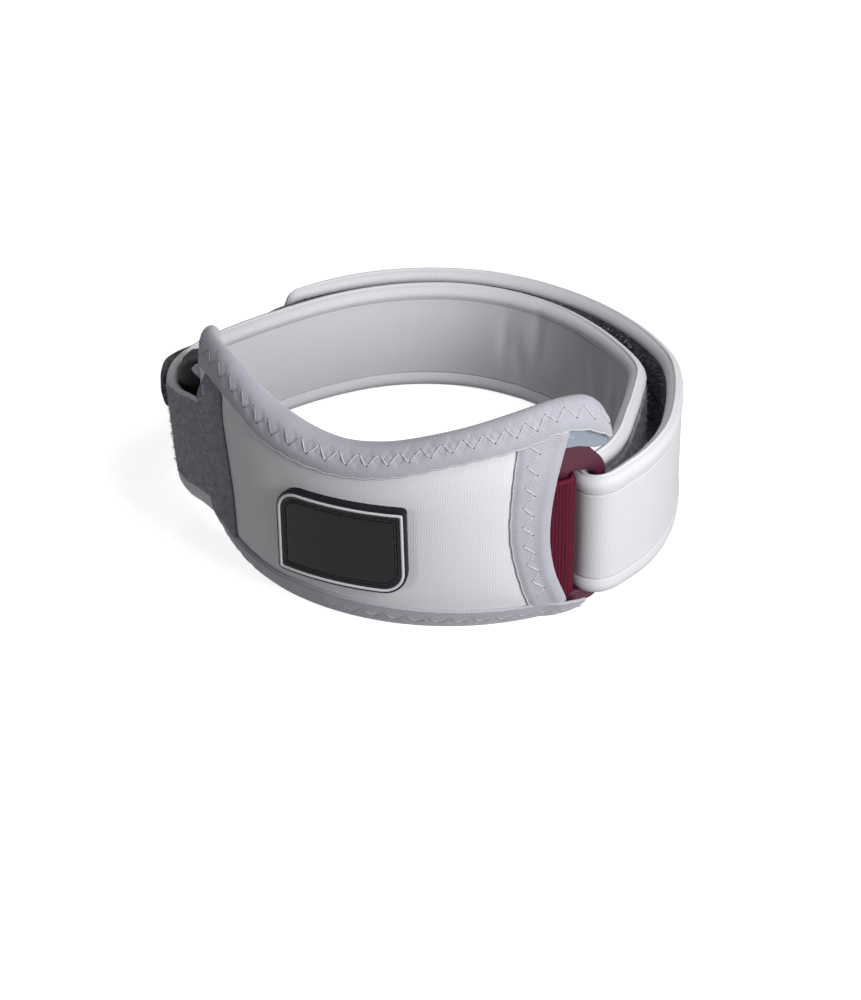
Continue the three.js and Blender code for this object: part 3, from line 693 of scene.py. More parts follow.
# Black hook tape with pale specks of lint; the pale end is raised as painted light for the gap between the
# strap's runs.
HOOK_TAPE_PAINTED_LIGHT = napped("hook_tape", linear(22, 21, 25), linear(150, 147, 158), 1.6, 0.3, 0.3)
# Hooks coloured light grey rather than their own black: painted light for the gap between the strap's runs.
HOOK_PLASTIC_PAINTED_LIGHT = moulded("hook_plastic_painted_light", linear(160, 158, 168), 0.4, 3000.0, 0.02, 0.0, 0.35)
THREAD_LIGHT = thread_finish("thread_light", linear(208, 208, 215))
THREAD_EDGE = thread_finish("thread_edge", linear(212, 212, 218))
# A darker copy of the thread: painted shade for stitches on the left side, which lies in shade, and for the
# foot tape's edge line.
THREAD_PAINTED_SHADE = thread_finish("thread_painted_shade", linear(164, 163, 174))
# Dark colour of the needle-hole cups: painted shade inside the holes.
NEEDLE_HOLE_PAINTED_SHADE = thread_finish("needle_hole_painted_shade", linear(70, 69, 78))
PILE_FIBRE = thread_finish("pile_fibre", linear(206, 201, 216))
THREAD_DARK = thread_finish("thread_dark", linear(30, 29, 33))
WEBBING = woven("webbing", linear(30, 4, 13), linear(116, 34, 58))
RING_PLASTIC = moulded("ring_plastic", linear(74, 19, 43), 0.5, 900.0, 0.02, 0.0, 0.08, 0.32)
PLATE_PLASTIC = moulded("plate_plastic", linear(136, 145, 160), 0.4, 700.0, 0.02, 0.1, 0.06)
BADGE_RUBBER = moulded("badge_rubber", linear(27, 26, 31), 0.5, 2600.0, 0.03, 0.0, 0.15, 0.16)
LINE_RUBBER = moulded("line_rubber", linear(215, 215, 218), 0.5, 2600.0, 0.02, 0.0, 0.05)


def part_of(piece, slot, *nodes):
    """Joins a piece to the frame, in place of the solids that it stands for."""
    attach(piece, "root")
    if nodes:
        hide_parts(*nodes)
    return piece


# The pad


def front_pad():
    angle, z = patch(PAD_OUTLINE, 121, 41)
    part_of(foam("front_pad_foam", angle, z, 0.1), "pad_foam", "front_pad")


def pad_end():
    """The pad's rounded end, swollen against the strap; its dark foam colour is painted shade in the gap
    behind the strap.
    """
    angle = np.linspace(PAD_END["angle"][0], PAD_END["angle"][-1], 61)[:, None]
    low, high = (read(PAD_END, k, angle) for k in ("low", "high"))
    z = low + (high - low) * shares(31)
    part_of(foam("front_pad_end_painted_shade", np.broadcast_to(angle, z.shape), z, 0.4), "pad_foam")


def foam(name, angle, z, spare):
    """Foam from the leg's side of the pad to its face, a little thinner than its room."""
    leg, face = leg_radius(angle, z), face_radius(angle, z)
    behind_strap = smooth((END_START - angle) / 8) * (1 - 0.25 * smooth((END_TIP + 9 - angle) / 9))
    face = face + END_SWELL * behind_strap * smooth((45 - z) / 7)
    tip = np.clip((angle - END_TIP) / 7, 0.02, 1)
    face = leg + (face - leg) * np.sqrt(1 - (1 - tip) ** 2)
    middle = on_pad(angle, (leg + face) / 2, z)
    half = (face - leg) / 2
    spare = np.minimum(spare, half * 0.3)
    uv = np.stack([np.radians(angle) * PAD_ARC, z], -1)
    made, _ = quilt(name, middle, half - spare, half - spare + 0.1, uv, [PAD_FOAM_PAINTED_SHADE, LINING_KNIT])
    return made


def stiffener_plate():
    angle, z = patch(PLATE_OUTLINE, 91, 25)
    bent = PLATE_BEND * smooth((-51.5 - angle) / 5)
    middle = on_pad(angle, face_radius(angle, z) + PLATE_MIDDLE + bent, z)
    plate, _ = quilt("stiffener_plate_moulding", middle, PLATE_HALF, PLATE_HALF, None, [PLATE_PLASTIC])
    part_of(plate, "plate_plastic", "stiffener_plate")


def seam_distance(angle, z):
    """Distance from the nearest sewn tape edge, into the open part of the cover."""
    arc = math.radians(1) * TAPE_ARC
    return np.minimum.reduce([
        read(TOP_TAPE, "edge", angle) - z,
        z - read(FOOT_TAPE, "edge", angle),
        (read(RIGHT_TAPE, "edge", z) - angle) * arc,
        (angle - read(SEAM_TAPE, "right", z)) * arc,
    ])


def under_badge(angle, z):
    """Where the badge holds the cover down."""
    along, up = np.radians(angle - BADGE["angle"]) * BADGE["radius"], z - BADGE["z"]
    return (np.abs(along) < BADGE["width"] / 2 + 0.3) & (np.abs(up) < BADGE["height"] / 2 + 0.3)


def settle(piece, sewn):
    """Swells a sewn piece by cloth simulation at a larger scale, and keeps the result in its mesh."""
    count = len(piece.data.vertices)
    start = np.empty(count * 3, np.float32)
    piece.data.vertices.foreach_get("co", start)
    copy = placed("cloth_run", piece.data.copy())
    copy.data.vertices.foreach_set("co", start * CLOTH_SCALE)
    copy.data.update()
    group = copy.vertex_groups.new(name="sewn")
    group.add([int(i) for i in np.flatnonzero(sewn)], 1.0, "REPLACE")
    cloth = copy.modifiers.new("cloth", "CLOTH")
    settings = cloth.settings
    settings.quality = 6
    settings.mass = 0.3
    settings.bending_stiffness = 2.0
    settings.use_pressure = True
    settings.uniform_pressure_force = CLOTH_PRESSURE
    settings.vertex_group_mass = group.name
    settings.effector_weights.gravity = 0
    cloth.collision_settings.use_collision = False
    for step in range(1, CLOTH_FRAMES + 1):
        bpy.context.scene.frame_set(step)
    ended = copy.evaluated_get(bpy.context.evaluated_depsgraph_get())
    moved = np.empty(count * 3, np.float32)
    ended.data.vertices.foreach_get("co", moved)
    bpy.data.objects.remove(copy)
    bpy.context.scene.frame_set(1)
    move = (moved / CLOTH_SCALE - start).reshape(-1, 3)
    length = np.linalg.norm(move, axis=1, keepdims=True)
    move *= np.minimum(1, CLOTH_CAP * MM / np.maximum(length, 1e-9))
    piece.data.vertices.foreach_set("co", (start.reshape(-1, 3) + move).ravel())
    piece.data.update()


def front_cover():
    across, up, rim = 161, 65, 5
    angle, z = patch(COVER_OUTLINE, across, up)
    distance = seam_distance(angle, z)
    swell = COVER_SWELL * (1 - np.exp(-np.maximum(distance, 0) / 2.2))
    middle = on_pad(angle, face_radius(angle, z) + COVER_BACK + COVER / 2 + swell, z)
    uv = np.stack([np.radians(angle) * COVER_ARC, z], -1)
    cover, _ = quilt("front_cover_knit", middle, COVER / 2, COVER / 2, uv, [COVER_KNIT], rim)
    sewn = np.ones((across + 2 * rim, 2 * (up + rim)), bool)
    sewn[rim:-rim, :up] = (distance < 0.6) | under_badge(angle, z)
    settle(cover, sewn)
    part_of(cover, "cover_knit", "front_cover")


def scallop(along):
    """How far a tape's edge is drawn out between stitches."""
    return 0.38 * np.abs(np.sin(math.pi * along / ZIGZAG_PERIOD)) ** 0.6


def tape_rows(rows, count):
    """The same spine points spread evenly along each section."""
    lengths = run_lengths(rows, 1)
    return np.stack([resampled(line, at, np.linspace(0, at[-1], count)) for line, at in zip(rows, lengths)])


def pucker(middle, low, high, depth=0.15):
    """Dips of a tape's face along its zigzag sewing."""
    along, across = run_lengths(middle, 0).mean(1)[:, None], run_lengths(middle, 1)
    phase = np.abs((along / (ZIGZAG_PERIOD / 2)) % 2 - 1)
    line = low + (high - low) * phase
    return -depth * bell(across - line, 0.9) - 0.5 * depth * bell(across - (low + high) / 2, 2.2)


def tape_piece(node, middle, face, material=TAPE_KNIT):
    """A tape about its middle sheet, in place of its solid."""
    tape, skin = quilt(f"{node}_tape", middle, face, TAPE / 2, None, [material], 4)
    return part_of(tape, "binding_tape", node), skin


def top_fold():
    """Middle sheet of the tape over the pad's top edge, closed at its right tip."""
    at = np.linspace(0, 1, 331)
    angle = read(PAD_OUTLINE["top"], "angle", at)[:, None]
    top = read(PAD_OUTLINE["top"], "z", at)[:, None]
    edge = np.minimum(read(TOP_TAPE, "edge", angle), top - 1.6)
    lower = on_pad(angle[:, 0], face_radius(angle, edge)[:, 0] + TAPE_MIDDLE, edge[:, 0])
    edge = edge - scallop(run_lengths(lower[:, None], 0))
    crown = top + CROWN_ROOM
    near = face_radius(angle, top) + CROWN_ROOM + TAPE / 2
    far = leg_radius(angle, top) - LEG_ROOM
    foot = face_radius(angle, edge) + TAPE_MIDDLE - 1.3 * smooth((-44 - angle) / 7)
    middle_r = (near + far) / 2
    t = shares(40)
    front_r = bezier(t, foot, foot + 0.3, near + 0.5, middle_r)
    front_z = bezier(t, edge, edge + 0.55 * (crown - edge), crown, crown)
    turn = np.radians(np.linspace(90, 180, 14))[None, 1:]
    bend = np.minimum(2.0, (crown - edge) * 0.6)
    over_r = middle_r + (near - far) / 2 * np.cos(turn)
    over_z = crown - bend + bend * np.sin(turn)
    back_z = crown - bend + (edge - crown + bend) * shares(14)[:, 1:]
    back_r = leg_radius(angle, back_z) - LEG_ROOM
    radius = np.concatenate([front_r, over_r, back_r], 1)
    z = np.concatenate([front_z, over_z, back_z], 1)
    into_tip = np.clip((at[:, None] - 0.965) / 0.035, 0, 0.995)
    radius = middle_r + (radius - middle_r) * np.sqrt(1 - into_tip**2)
    return tape_rows(on_pad(angle, radius, z), 70)


def top_binding(threads):
    middle = top_fold()
    tape, skin = tape_piece("top_binding", middle, TAPE / 2 + pucker(middle, 3.1, 6.0))
    length = skin.along[-1]
    # The first stitches use the darker thread as painted shade on the tape's left end.
    painted_shade_end = 3 + PAINTED_SHADE_STITCHES * ZIGZAG_PERIOD
    zigzag(threads, skin, *TOP_SEWN, 3, painted_shade_end, kind=2)
    zigzag(threads, skin, *TOP_SEWN, painted_shade_end, length - 3)
    edge_line(threads, skin, 0.1, 1, length - 1)


def foot_fold():
    """Middle sheet of the tape under the pad's foot."""
    angle = np.linspace(FOOT_TAPE["angle"][0], FOOT_TAPE["angle"][-1], 281)[:, None]
    rise = np.interp(angle, FOOT_TAPE["angle"], FOOT_TAPE["rise"])
    edge = read(FOOT_TAPE, "edge", angle)
    upper = on_pad(angle[:, 0], face_radius(angle, edge)[:, 0] + TAPE_MIDDLE, edge[:, 0])
    edge = edge + 0.3 * scallop(run_lengths(upper[:, None], 0))
    floor = rise + TAPE / 2
    bend = floor + FOOT_BEND
    front_z = edge + (bend - edge) * shares(24)
    front_r = face_radius(angle, front_z) + TAPE_MIDDLE + 1.2 * smooth((angle - 46) / 6)
    out, back = front_r[:, -1:], leg_radius(angle, floor) - LEG_ROOM
    turn = np.radians(np.linspace(0, 90, 8))[None, 1:]
    near_r, near_z = out + FOOT_BEND * (np.cos(turn) - 1), bend - FOOT_BEND * np.sin(turn)
    base_r = near_r[:, -1:] + (back + FOOT_BEND - near_r[:, -1:]) * shares(8)[:, 1:]
    base_z = np.broadcast_to(floor, base_r.shape)
    far_r, far_z = back + FOOT_BEND * (1 - np.sin(turn)), bend - FOOT_BEND * np.cos(turn)
    back_z = bend + (np.maximum(edge, floor + 2) - bend) * shares(16)[:, 1:]
    back_r = leg_radius(angle, back_z) - LEG_ROOM
    radius = np.concatenate([front_r, near_r, base_r, far_r, back_r], 1)
    z = np.concatenate([front_z, near_z, base_z, far_z, back_z], 1)
    return tape_rows(on_pad(angle, radius, z), 64)[::-1]


def bottom_binding(threads):
    middle = foot_fold()
    tape, skin = tape_piece("bottom_binding", middle, TAPE / 2 + pucker(middle, *FOOT_SEWN))
    length = skin.along[-1]
    zigzag(threads, skin, *FOOT_SEWN, 4, length - 8, sink=0.14)
    # The darker thread here paints a shadow line along the tape's upper edge.
    edge_line(threads, skin, 0.0, 1, length - 1, 2)


def right_edge_binding(threads):
    z = np.linspace(5.4, 53.0, 151)[:, None]
    first = read(RIGHT_TAPE, "edge", z)
    last = read(COVER_OUTLINE["right"], "angle", z, "z") + 0.35
    flat_angle = last + (first - scallop(z) * 0.4 - last) * shares(20)
    tuck = 0.9 * smooth((z - read(TOP_TAPE, "edge", flat_angle) + 0.9) / 1.2)
    flat_r = face_radius(flat_angle, z) + TAPE_MIDDLE - tuck
    turn = np.radians(np.linspace(180, 0, 10))[None, :-1]
    roll = 0.95
    turn_angle = last + np.degrees(roll * np.sin(turn) / TAPE_ARC)
    turn_r = face_radius(last, z) + TAPE_MIDDLE - roll + roll * np.cos(turn)
    angle = np.concatenate([turn_angle, flat_angle], 1)
    radius = np.concatenate([turn_r, flat_r], 1)
    middle = tape_rows(on_pad(angle, radius, z), 30)
    across = run_lengths(middle, 1)
    rolled = 0.5 * bell(across - 4.0, 1.3)
    thinned = 0.5 * smooth(1 - (across[:, -1:] - across) / 1.8)
    tape, skin = tape_piece("right_edge_binding", middle, TAPE / 2 + rolled - thinned)
    zigzag(threads, skin, *RIGHT_SEWN, 5, skin.along[-1] - 4, RIGHT_PERIOD)
    edge_line(threads, skin, -0.1, 2, skin.along[-1] - 4)


def left_edge_binding(threads):
    z = np.linspace(9.4, 53.4, 121)[:, None]
    left, right = (read(SEAM_TAPE, k, z) for k in ("left", "right"))
    part = shares(22)
    angle = right + (left - right) * part
    under = read(TOP_TAPE, "edge", angle) - z
    lift = 2.3 * smooth(part * 1.4) * smooth((z - 10) / 6) * smooth((under + 0.6) / 7)
    tuck = 1.2 * smooth((1.0 - under) / 1.4)
    radius = face_radius(angle, z) + TAPE_MIDDLE + lift - tuck
    middle = on_pad(angle, radius, np.broadcast_to(z, angle.shape))
    tape, skin = tape_piece("left_edge_binding", middle, TAPE / 2, SEAM_NAP)
    # The strip's zigzag uses the darker thread as painted shade.
    zigzag(threads, skin, *SEAM_SEWN, 3, skin.along[-1] - 4, kind=2)


# The badge


def corner_loop(left, right, bottom, top, radii, per_corner=9, per_side=14):
    """Points round a rectangle with its own radius at each corner, anticlockwise from the bottom left."""
    corners = [
        (left, bottom, radii["bottom_left"], 180), (right, bottom, radii["bottom_right"], 270),
        (right, top, radii["top_right"], 0), (left, top, radii["top_left"], 90),
    ]
    arcs = []
    for x, y, r, start in corners:
        turn = np.radians(start + np.linspace(0, 90, per_corner))
        centre = (x + r if x == left else x - r, y + r if y == bottom else y - r)
        arcs.append(centre + r * np.stack([np.cos(turn), np.sin(turn)], -1))
    loop = []
    for arc, following in zip(arcs, arcs[1:] + arcs[:1]):
        side = np.linspace(arc[-1], following[0], per_side + 1, endpoint=False)[1:]
        loop += [arc, side]
    return np.concatenate(loop)


def badge_loop(inset):
    radii = {k: max(r - inset, 0.35) for k, r in BADGE_CORNERS.items()}
    x, y = BADGE["width"] / 2 - inset, BADGE["height"] / 2 - inset
    return corner_loop(-x, x, -y, y, radii)


def on_badge(flat, depth):
    roll = math.radians(BADGE["roll"])
    along = flat[:, 0] * math.cos(roll) - flat[:, 1] * math.sin(roll)
    up = flat[:, 0] * math.sin(roll) + flat[:, 1] * math.cos(roll)
    angle = BADGE["angle"] + np.degrees(along / BADGE["radius"])
    return on_pad(angle, BADGE["radius"] + depth, BADGE["z"] + up)


def badge():
    depth = BADGE["depth"]
    profile = [
        (0.0, -0.6), (0.0, 0.0), (0.0, depth - 0.35), (0.04, depth - 0.16), (0.14, depth - 0.05),
        (0.28, depth), (0.9, depth), (1.75, depth), (2.05, depth - 0.02), (2.17, depth - 0.22),
        (2.5, depth - 0.3), (2.83, depth - 0.22), (2.95, depth - 0.02), (3.25, depth), (5.0, depth),
    ]
    rings = [on_badge(badge_loop(inset), height) for inset, height in profile]
    inner = badge_loop(5.0)
    rings += [on_badge(inner * share, depth) for share in (0.8, 0.6, 0.4, 0.2, 0.03)]
    count = len(rings[0])
    faces = tube_faces(len(rings), count)
    faces.append(tuple(range(count)))
    faces.append(tuple(range((len(rings) - 1) * count, len(rings) * count)))
    made = add_mesh("badge_rubber_plate", np.concatenate(rings), faces, None, [BADGE_RUBBER])
    part_of(made, "badge_rubber", "badge")
    badge_line(count)
    badge_sewing()


def badge_line(count):
    """The pale line round the badge's face."""
    profile = [
        (0.6, -0.15), (0.63, 0.12), (0.75, 0.24), (0.95, 0.28), (1.15, 0.24), (1.27, 0.12), (1.3, -0.15),
    ]
    rings = [on_badge(badge_loop(inset), BADGE["depth"] + height) for inset, height in profile]
    faces = [(b, a, d, c) for a, b, c, d in tube_faces(len(rings), count, closed=True)]
    made = add_mesh("badge_line_rubber", np.concatenate(rings), faces, None, [LINE_RUBBER])
    part_of(made, "line_rubber", "badge_line")


def badge_sewing():
    """Straight stitches in the groove inside the line."""
    sewing = Threads()
    groove = badge_loop(BADGE_GROOVE)
    groove = np.concatenate([groove, groove[:1]])
    lengths = np.concatenate([[0], np.cumsum(np.linalg.norm(np.diff(groove, axis=0), axis=1))])
    stitches = int(lengths[-1] / BADGE_STITCH)
    for k in range(stitches):
        spots = (k + np.linspace(0.06, 0.94, 9)) * lengths[-1] / stitches
        flat = resampled(groove, lengths, spots)
        lift = 0.17 * np.sin(np.linspace(0, math.pi, 9)) ** 0.5 - 0.3
        sewing.add(on_badge(flat, BADGE["depth"] + lift), THREAD)
    made = sewing.build("badge_sewing", [THREAD_DARK])
    part_of(made, "badge_rubber")


# The ring and its webbing


def ring_point(along, z, depth):
    middle = (HELD_BAR_ANGLE + FREE_BAR_ANGLE) / 2
    return on_pad(middle + np.degrees(along / RING_RADIUS), RING_RADIUS + depth, z)


def ring():
    reach = math.radians(FREE_BAR_ANGLE - HELD_BAR_ANGLE) * RING_RADIUS / 2
    radii = dict.fromkeys(BADGE_CORNERS, RING["corner"]) | {"top_right": RING["tip"]}
    slot_radii = dict.fromkeys(BADGE_CORNERS, RING_SLOT["corner"]) | {"top_right": RING_SLOT["tip"]}
    outer = corner_loop(-reach - RING_BAR, reach + RING_BAR, RING["bottom"], RING["top"], radii)
    inside = reach - RING_BAR
    slot = corner_loop(-inside, inside, RING_SLOT["bottom"], RING_SLOT["top"], slot_radii)
    for loop, sizes in ((outer, RING), (slot, RING_SLOT)):
        to_tip = smooth((loop[:, 1] - 33) / 5) * smooth((loop[:, 0] + reach) / (2 * reach))
        loop[:, 1] -= sizes["droop"] * to_tip
    centre, half = (outer + slot) / 2, (outer - slot) / 2
    sections = []
    for turn in np.radians(np.linspace(0, 360, 28, endpoint=False)):
        squared = [np.sign(f) * abs(f) ** 0.55 for f in (math.cos(turn), math.sin(turn))]
        flat = centre + half * squared[0]
        sections.append(ring_point(flat[:, 0], flat[:, 1], RING_BAR * squared[1]))
    points = np.stack(sections, 1)
    faces = tube_faces(*points.shape[:2], closed=True)
    made = add_mesh("ring_moulding", points, faces, None, [RING_PLASTIC])
    part_of(made, "ring_plastic", "ring")


def ring_webbing():
    start, stop = math.radians(WEB_START) * RING_RADIUS, math.radians(HELD_BAR_ANGLE) * RING_RADIUS
    straight = stop - start
    turn_length = math.pi * WEB_RADIUS
    total = 2 * straight + turn_length
    columns = round(total / WEB_COLUMN)
    spots = np.linspace(0, total, columns * 7 + 1)[:, None]
    turn = np.clip((spots - straight) / turn_length, 0, 1) * math.pi
    along = start + np.minimum(np.minimum(spots, total - spots), straight) + WEB_RADIUS * np.sin(turn)
    radius = RING_RADIUS - WEB_RADIUS * np.cos(turn)
    z = np.linspace(WEB_BOTTOM, WEB_TOP, 181)[None, :]
    middle = on_pad(np.degrees(along / RING_RADIUS), radius, z)[::-1]
    spots = spots[::-1]
    cell = (spots / WEB_COLUMN) % 1
    rib = np.sin(math.pi * cell) ** 0.7
    lean = np.abs(cell - 0.5) * WEB_STITCH * 1.1
    loops = 0.5 + 0.5 * np.cos(2 * math.pi * (z + lean) / WEB_STITCH)
    front = WEB_HALF + 0.34 * rib * (0.55 + 0.45 * loops)
    uv = np.stack(np.broadcast_arrays(spots, z), -1)
    made, _ = quilt("ring_webbing_weave", middle, front, WEB_HALF, uv, [WEBBING], 3)
    part_of(made, "webbing", "ring_webbing")


# The strap


def around_leg(angle, radius):
    angle = np.radians(angle)
    return np.stack([radius * np.sin(angle), -radius * np.cos(angle)], -1)


def run_spots(rows, count, first=None):
    """Spots along a run: where its lower and upper edges are, their height and fullness."""
    first = rows["angle"][0] if first is None else first
    angle = np.linspace(first, rows["angle"][-1], count)
    low = around_leg(angle, read(rows, "low", angle))
    high = around_leg(angle, read(rows, "high", angle))
    foot = np.maximum(read(rows, "foot", angle), 0)
    return {"low": low, "high": high, "foot": foot, "full": read(rows, "full", angle)}


def fold_spots(count):
    bar = on_pad(FREE_BAR_ANGLE, RING_RADIUS, 0)[:2]
    away = unit(bar)
    forward = np.array([away[1], -away[0]])
    turn = np.radians(np.linspace(0, 180, count))[:, None]
    at = bar - away * FOLD_RADIUS * np.cos(turn) + forward * FOLD_RADIUS * np.sin(turn)
    return {"low": at, "high": at, "foot": np.full(count, FOLD_FOOT), "full": np.ones(count)}


def joined(*runs):
    return {k: np.concatenate([run[k] for run in runs]) for k in runs[0]}


def even_spots(spots, step):
    """The same run evened out, with its spots a set distance apart and its ends kept."""
    length = run_lengths(((spots["low"] + spots["high"]) / 2)[:, None], 0)[:, 0]
    at = np.linspace(0, length[-1], int(length[-1] / step))
    out = {k: resampled(v, length, at) if v.ndim == 2 else np.interp(at, length, v) for k, v in spots.items()}
    for _ in range(12):
        for values in (out["low"], out["high"], out["foot"]):
            values[1:-1] = (values[:-2] + 2 * values[1:-1] + values[2:]) / 4
    out["length"] = at
    return out


def sheet_grid(spots, heights):
    """Grid of points over a run of spots; heights may differ along the run."""
    heights = np.broadcast_to(heights, (len(spots["foot"]), np.shape(heights)[-1]))
    share = (heights / STRAP_WIDTH)[..., None]
    plan = spots["low"][:, None] * (1 - share) + spots["high"][:, None] * share
    tall = np.broadcast_to(spots.get("tall", 1.0), spots["foot"].shape)[:, None]
    return np.concatenate([plan, (spots["foot"][:, None] + heights * tall)[..., None]], -1)


def rounded_heights(length, low, high, radius, count):
    """Heights across a strip whose corners at its far end are rounded."""
    into = np.clip(radius - (length[-1] - length), 0, radius * 0.999)
    drop = radius - np.sqrt(radius**2 - into**2)
    t = shares(count)
    return (low + drop)[:, None] + (high - low - 2 * drop)[:, None] * t


WHOLE_STRAP = even_spots(
    joined(run_spots(INNER_RUN, 400, STRAP_START), fold_spots(60), run_spots(OUTER_RUN, 260)), SPOT_STEP
)


def place_along(rows, angle):
    """Distance along the strap of an angle on one of its runs."""
    spot = around_leg(angle, (read(rows, "low", angle) + read(rows, "high", angle)) / 2)
    middle = (WHOLE_STRAP["low"] + WHOLE_STRAP["high"]) / 2
    away = np.linalg.norm(middle - spot, axis=1)
    return WHOLE_STRAP["length"][np.argmin(away)]


WHOLE_STRAP["tall"] = 1 + 0.06 * bell(WHOLE_STRAP["length"] - place_along(OUTER_RUN, 80), 26)


def strap_heights():
    """Rows across the strap, closer together at its creases."""
    edge = [0.3, 0.42, 0.6, 0.85, 1.2, 1.7, 2.2, 2.7, 3.2, 3.6]
    near_crease = [-0.42, -0.28, -0.18, -0.1, -0.04, 0.04, 0.1, 0.18, 0.28, 0.42, 0.8, 1.5]
    marks = edge + [STRAP_CREASE + step for step in near_crease]
    middle = np.linspace(7.2, STRAP_WIDTH - 7.2, 17)
    return np.array(marks + list(middle) + [STRAP_WIDTH - m for m in reversed(marks)])


def strap_wrinkles(length, up):
    """Soft uneven folds of the knit side, where the strap bends before the ring."""
    rng = np.random.default_rng(5)
    wave = np.zeros(np.broadcast(length, up).shape)
    for centre in np.linspace(*WRINKLED, 15):
        place = centre + rng.uniform(-2.5, 2.5)
        slant = rng.uniform(-0.15, 0.15)
        across = bell(up - rng.uniform(11, 20), rng.uniform(5, 9))
        fold = bell(length - place - slant * (up - STRAP_WIDTH / 2), rng.uniform(1.3, 2.6))
        wave -= rng.uniform(0.4, 1.1) * across * fold
    return wave


def strap():
    heights = strap_heights()
    length = WHOLE_STRAP["length"][:, None]
    end = rounded_heights(WHOLE_STRAP["length"], 0.0, STRAP_WIDTH, STRAP_CORNER, 2)
    share = heights[None, :] / STRAP_WIDTH
    up = end[:, :1] + (end[:, 1:] - end[:, :1]) * share
    middle = sheet_grid(WHOLE_STRAP, up)
    from_edge = np.minimum(heights, STRAP_WIDTH - heights)[None, :]
    crease = CREASE_DEPTH * bell(from_edge - STRAP_CREASE, CREASE_WIDTH)
    past_fold = length - place_along(OUTER_RUN, OUTER_RUN["angle"][0])
    round_leg, past_ring = (read(STRAP_SECTION, k, heights)[None, :] for k in ("round", "past"))
    face = round_leg + (past_ring - round_leg) * smooth((past_fold + 30) / 20)
    crease = crease * (1 - 0.7 * smooth((past_fold - 16) / 22))
    full = WHOLE_STRAP["full"][:, None]
    knit_side = (face - crease) * full + strap_wrinkles(length, up)
    uv = np.stack(np.broadcast_arrays(length, up), -1)
    made, _ = quilt("strap_knit_band", middle, knit_side, round_leg * full, uv, [STRAP_KNIT])
    part_of(made, "strap_knit", "strap")


def strap_part(first, last):
    """A stretch of the strap, between two places along it."""
    keep = (WHOLE_STRAP["length"] >= first) & (WHOLE_STRAP["length"] <= last)
    return {k: v[keep] for k, v in WHOLE_STRAP.items()}


def strap_pile():
    first, last = place_along(INNER_RUN, PILE_START), place_along(OUTER_RUN, HOOK_START - 4)
    spots = strap_part(first, last)
    near_seam = smooth((first + 40 - spots["length"]) / 20)[:, None]
    top = STRAP_WIDTH - PILE_MARGIN + 3.8 * near_seam
    heights = PILE_MARGIN + (top - PILE_MARGIN) * shares(52)
    sheet = sheet_grid(spots, heights)
    middle = sheet - grid_normals(sheet) * ((PILE_FACE + PILE / 2) * spots["full"])[:, None, None]
    rng = np.random.default_rng(7)
    nap = rng.normal(0, 0.09, middle.shape[:2])
    uv = np.stack(np.broadcast_arrays(spots["length"][:, None], heights), -1)
    made, _ = quilt("strap_pile_velour", middle, PILE / 2, PILE / 2 + nap, uv, [VELOUR], 4)
    part_of(made, "strap_velour", "strap_pile")
    nap_fibres(middle - grid_normals(middle) * PILE / 2, -grid_normals(middle), rng)


def nap_fibres(face, normals, rng):
    """Loose loops standing out of the pile."""
    fibres = Threads(3)
    rows, columns = face.shape[:2]
    for _ in range(FIBRES):
        i, j = rng.integers(1, rows - 1), rng.integers(1, columns - 1)
        root = face[i, j] + rng.normal(0, 0.3, 3) * (1 - np.abs(normals[i, j]))
        out, drift = normals[i, j] * rng.uniform(0.1, 0.32), rng.normal(0, 0.3, 3)
        fibres.add([root, root + out + 0.4 * drift, root + 0.9 * out + drift], FIBRE_RADIUS)
    part_of(fibres.build("strap_pile_fibres", [PILE_FIBRE]), "strap_velour")


def hook_strip():
    laid = strap_part(place_along(OUTER_RUN, HOOK_START), WHOLE_STRAP["length"][-1] - 1.5)
    run = dict(laid)
    for edge, height in (("low", 0.0), ("high", STRAP_WIDTH)):
        grid = sheet_grid(laid, np.array([height - 0.01, height + 0.01]))
        run[edge] = (grid - grid_normals(grid) * (PILE_FACE + HOOK_BASE / 2))[:, 0, :2]
    tab = run_spots(HOOK_TAB, 60)
    spots = even_spots(joined({k: run[k] for k in tab}, tab), SPOT_STEP)
    into_tab = smooth((spots["length"] - spots["length"][-1] + 46) / 12)
    margin = HOOK_MARGIN + (HOOK_TAB_MARGIN - HOOK_MARGIN) * into_tab
    low, high = margin + TAB_RAISE * into_tab, STRAP_WIDTH - margin
    heights = rounded_heights(spots["length"], low, high, HOOK_CORNER, 36)
    middle = sheet_grid(spots, heights)
    uv = np.stack(np.broadcast_arrays(spots["length"][:, None], heights), -1)
    # The strip's pale mottle is partly lint and partly painted light.
    made, _ = quilt("hook_strip_tape", middle, HOOK_BASE / 2, HOOK_BASE / 2, uv, [HOOK_TAPE_PAINTED_LIGHT], 4)
    part_of(made, "hook_tape", "hook_strip")
    hooks(middle)


def hooks(middle):
    """Small hooks on every other place of the strip's face, leaning either way along it."""
    gathered = Threads(4)
    rng = np.random.default_rng(11)
    normals = -grid_normals(middle)
    face = middle + normals * HOOK_BASE / 2
    forward = unit(np.gradient(middle, axis=0))
    for i, j in np.ndindex(face.shape[0] - 4, face.shape[1] - 4):
        if (i + j) % 2:
            continue
        place = (i + 2, j + 2)
        lean = forward[place] * rng.choice([-1, 1])
        base = face[place] + rng.normal(0, 0.25, 3) * [1, 1, 1.4]
        up = normals[place] * rng.uniform(0.5, 0.75)
        path = [base, base + 0.7 * up, base + up + 0.2 * lean, base + 0.75 * up + 0.42 * lean]
        gathered.add(path, np.array([0.1, 0.1, 0.1, 0.06]))
    # The hooks' light grey is painted light.
    part_of(gathered.build("hook_strip_hooks", [HOOK_PLASTIC_PAINTED_LIGHT]), "hook_tape")


# The stage


def aimed(made, target):
    made.rotation_mode = "QUATERNION"
    made.rotation_quaternion = (Vector(target) - made.location).to_track_quat("-Z", "Y")


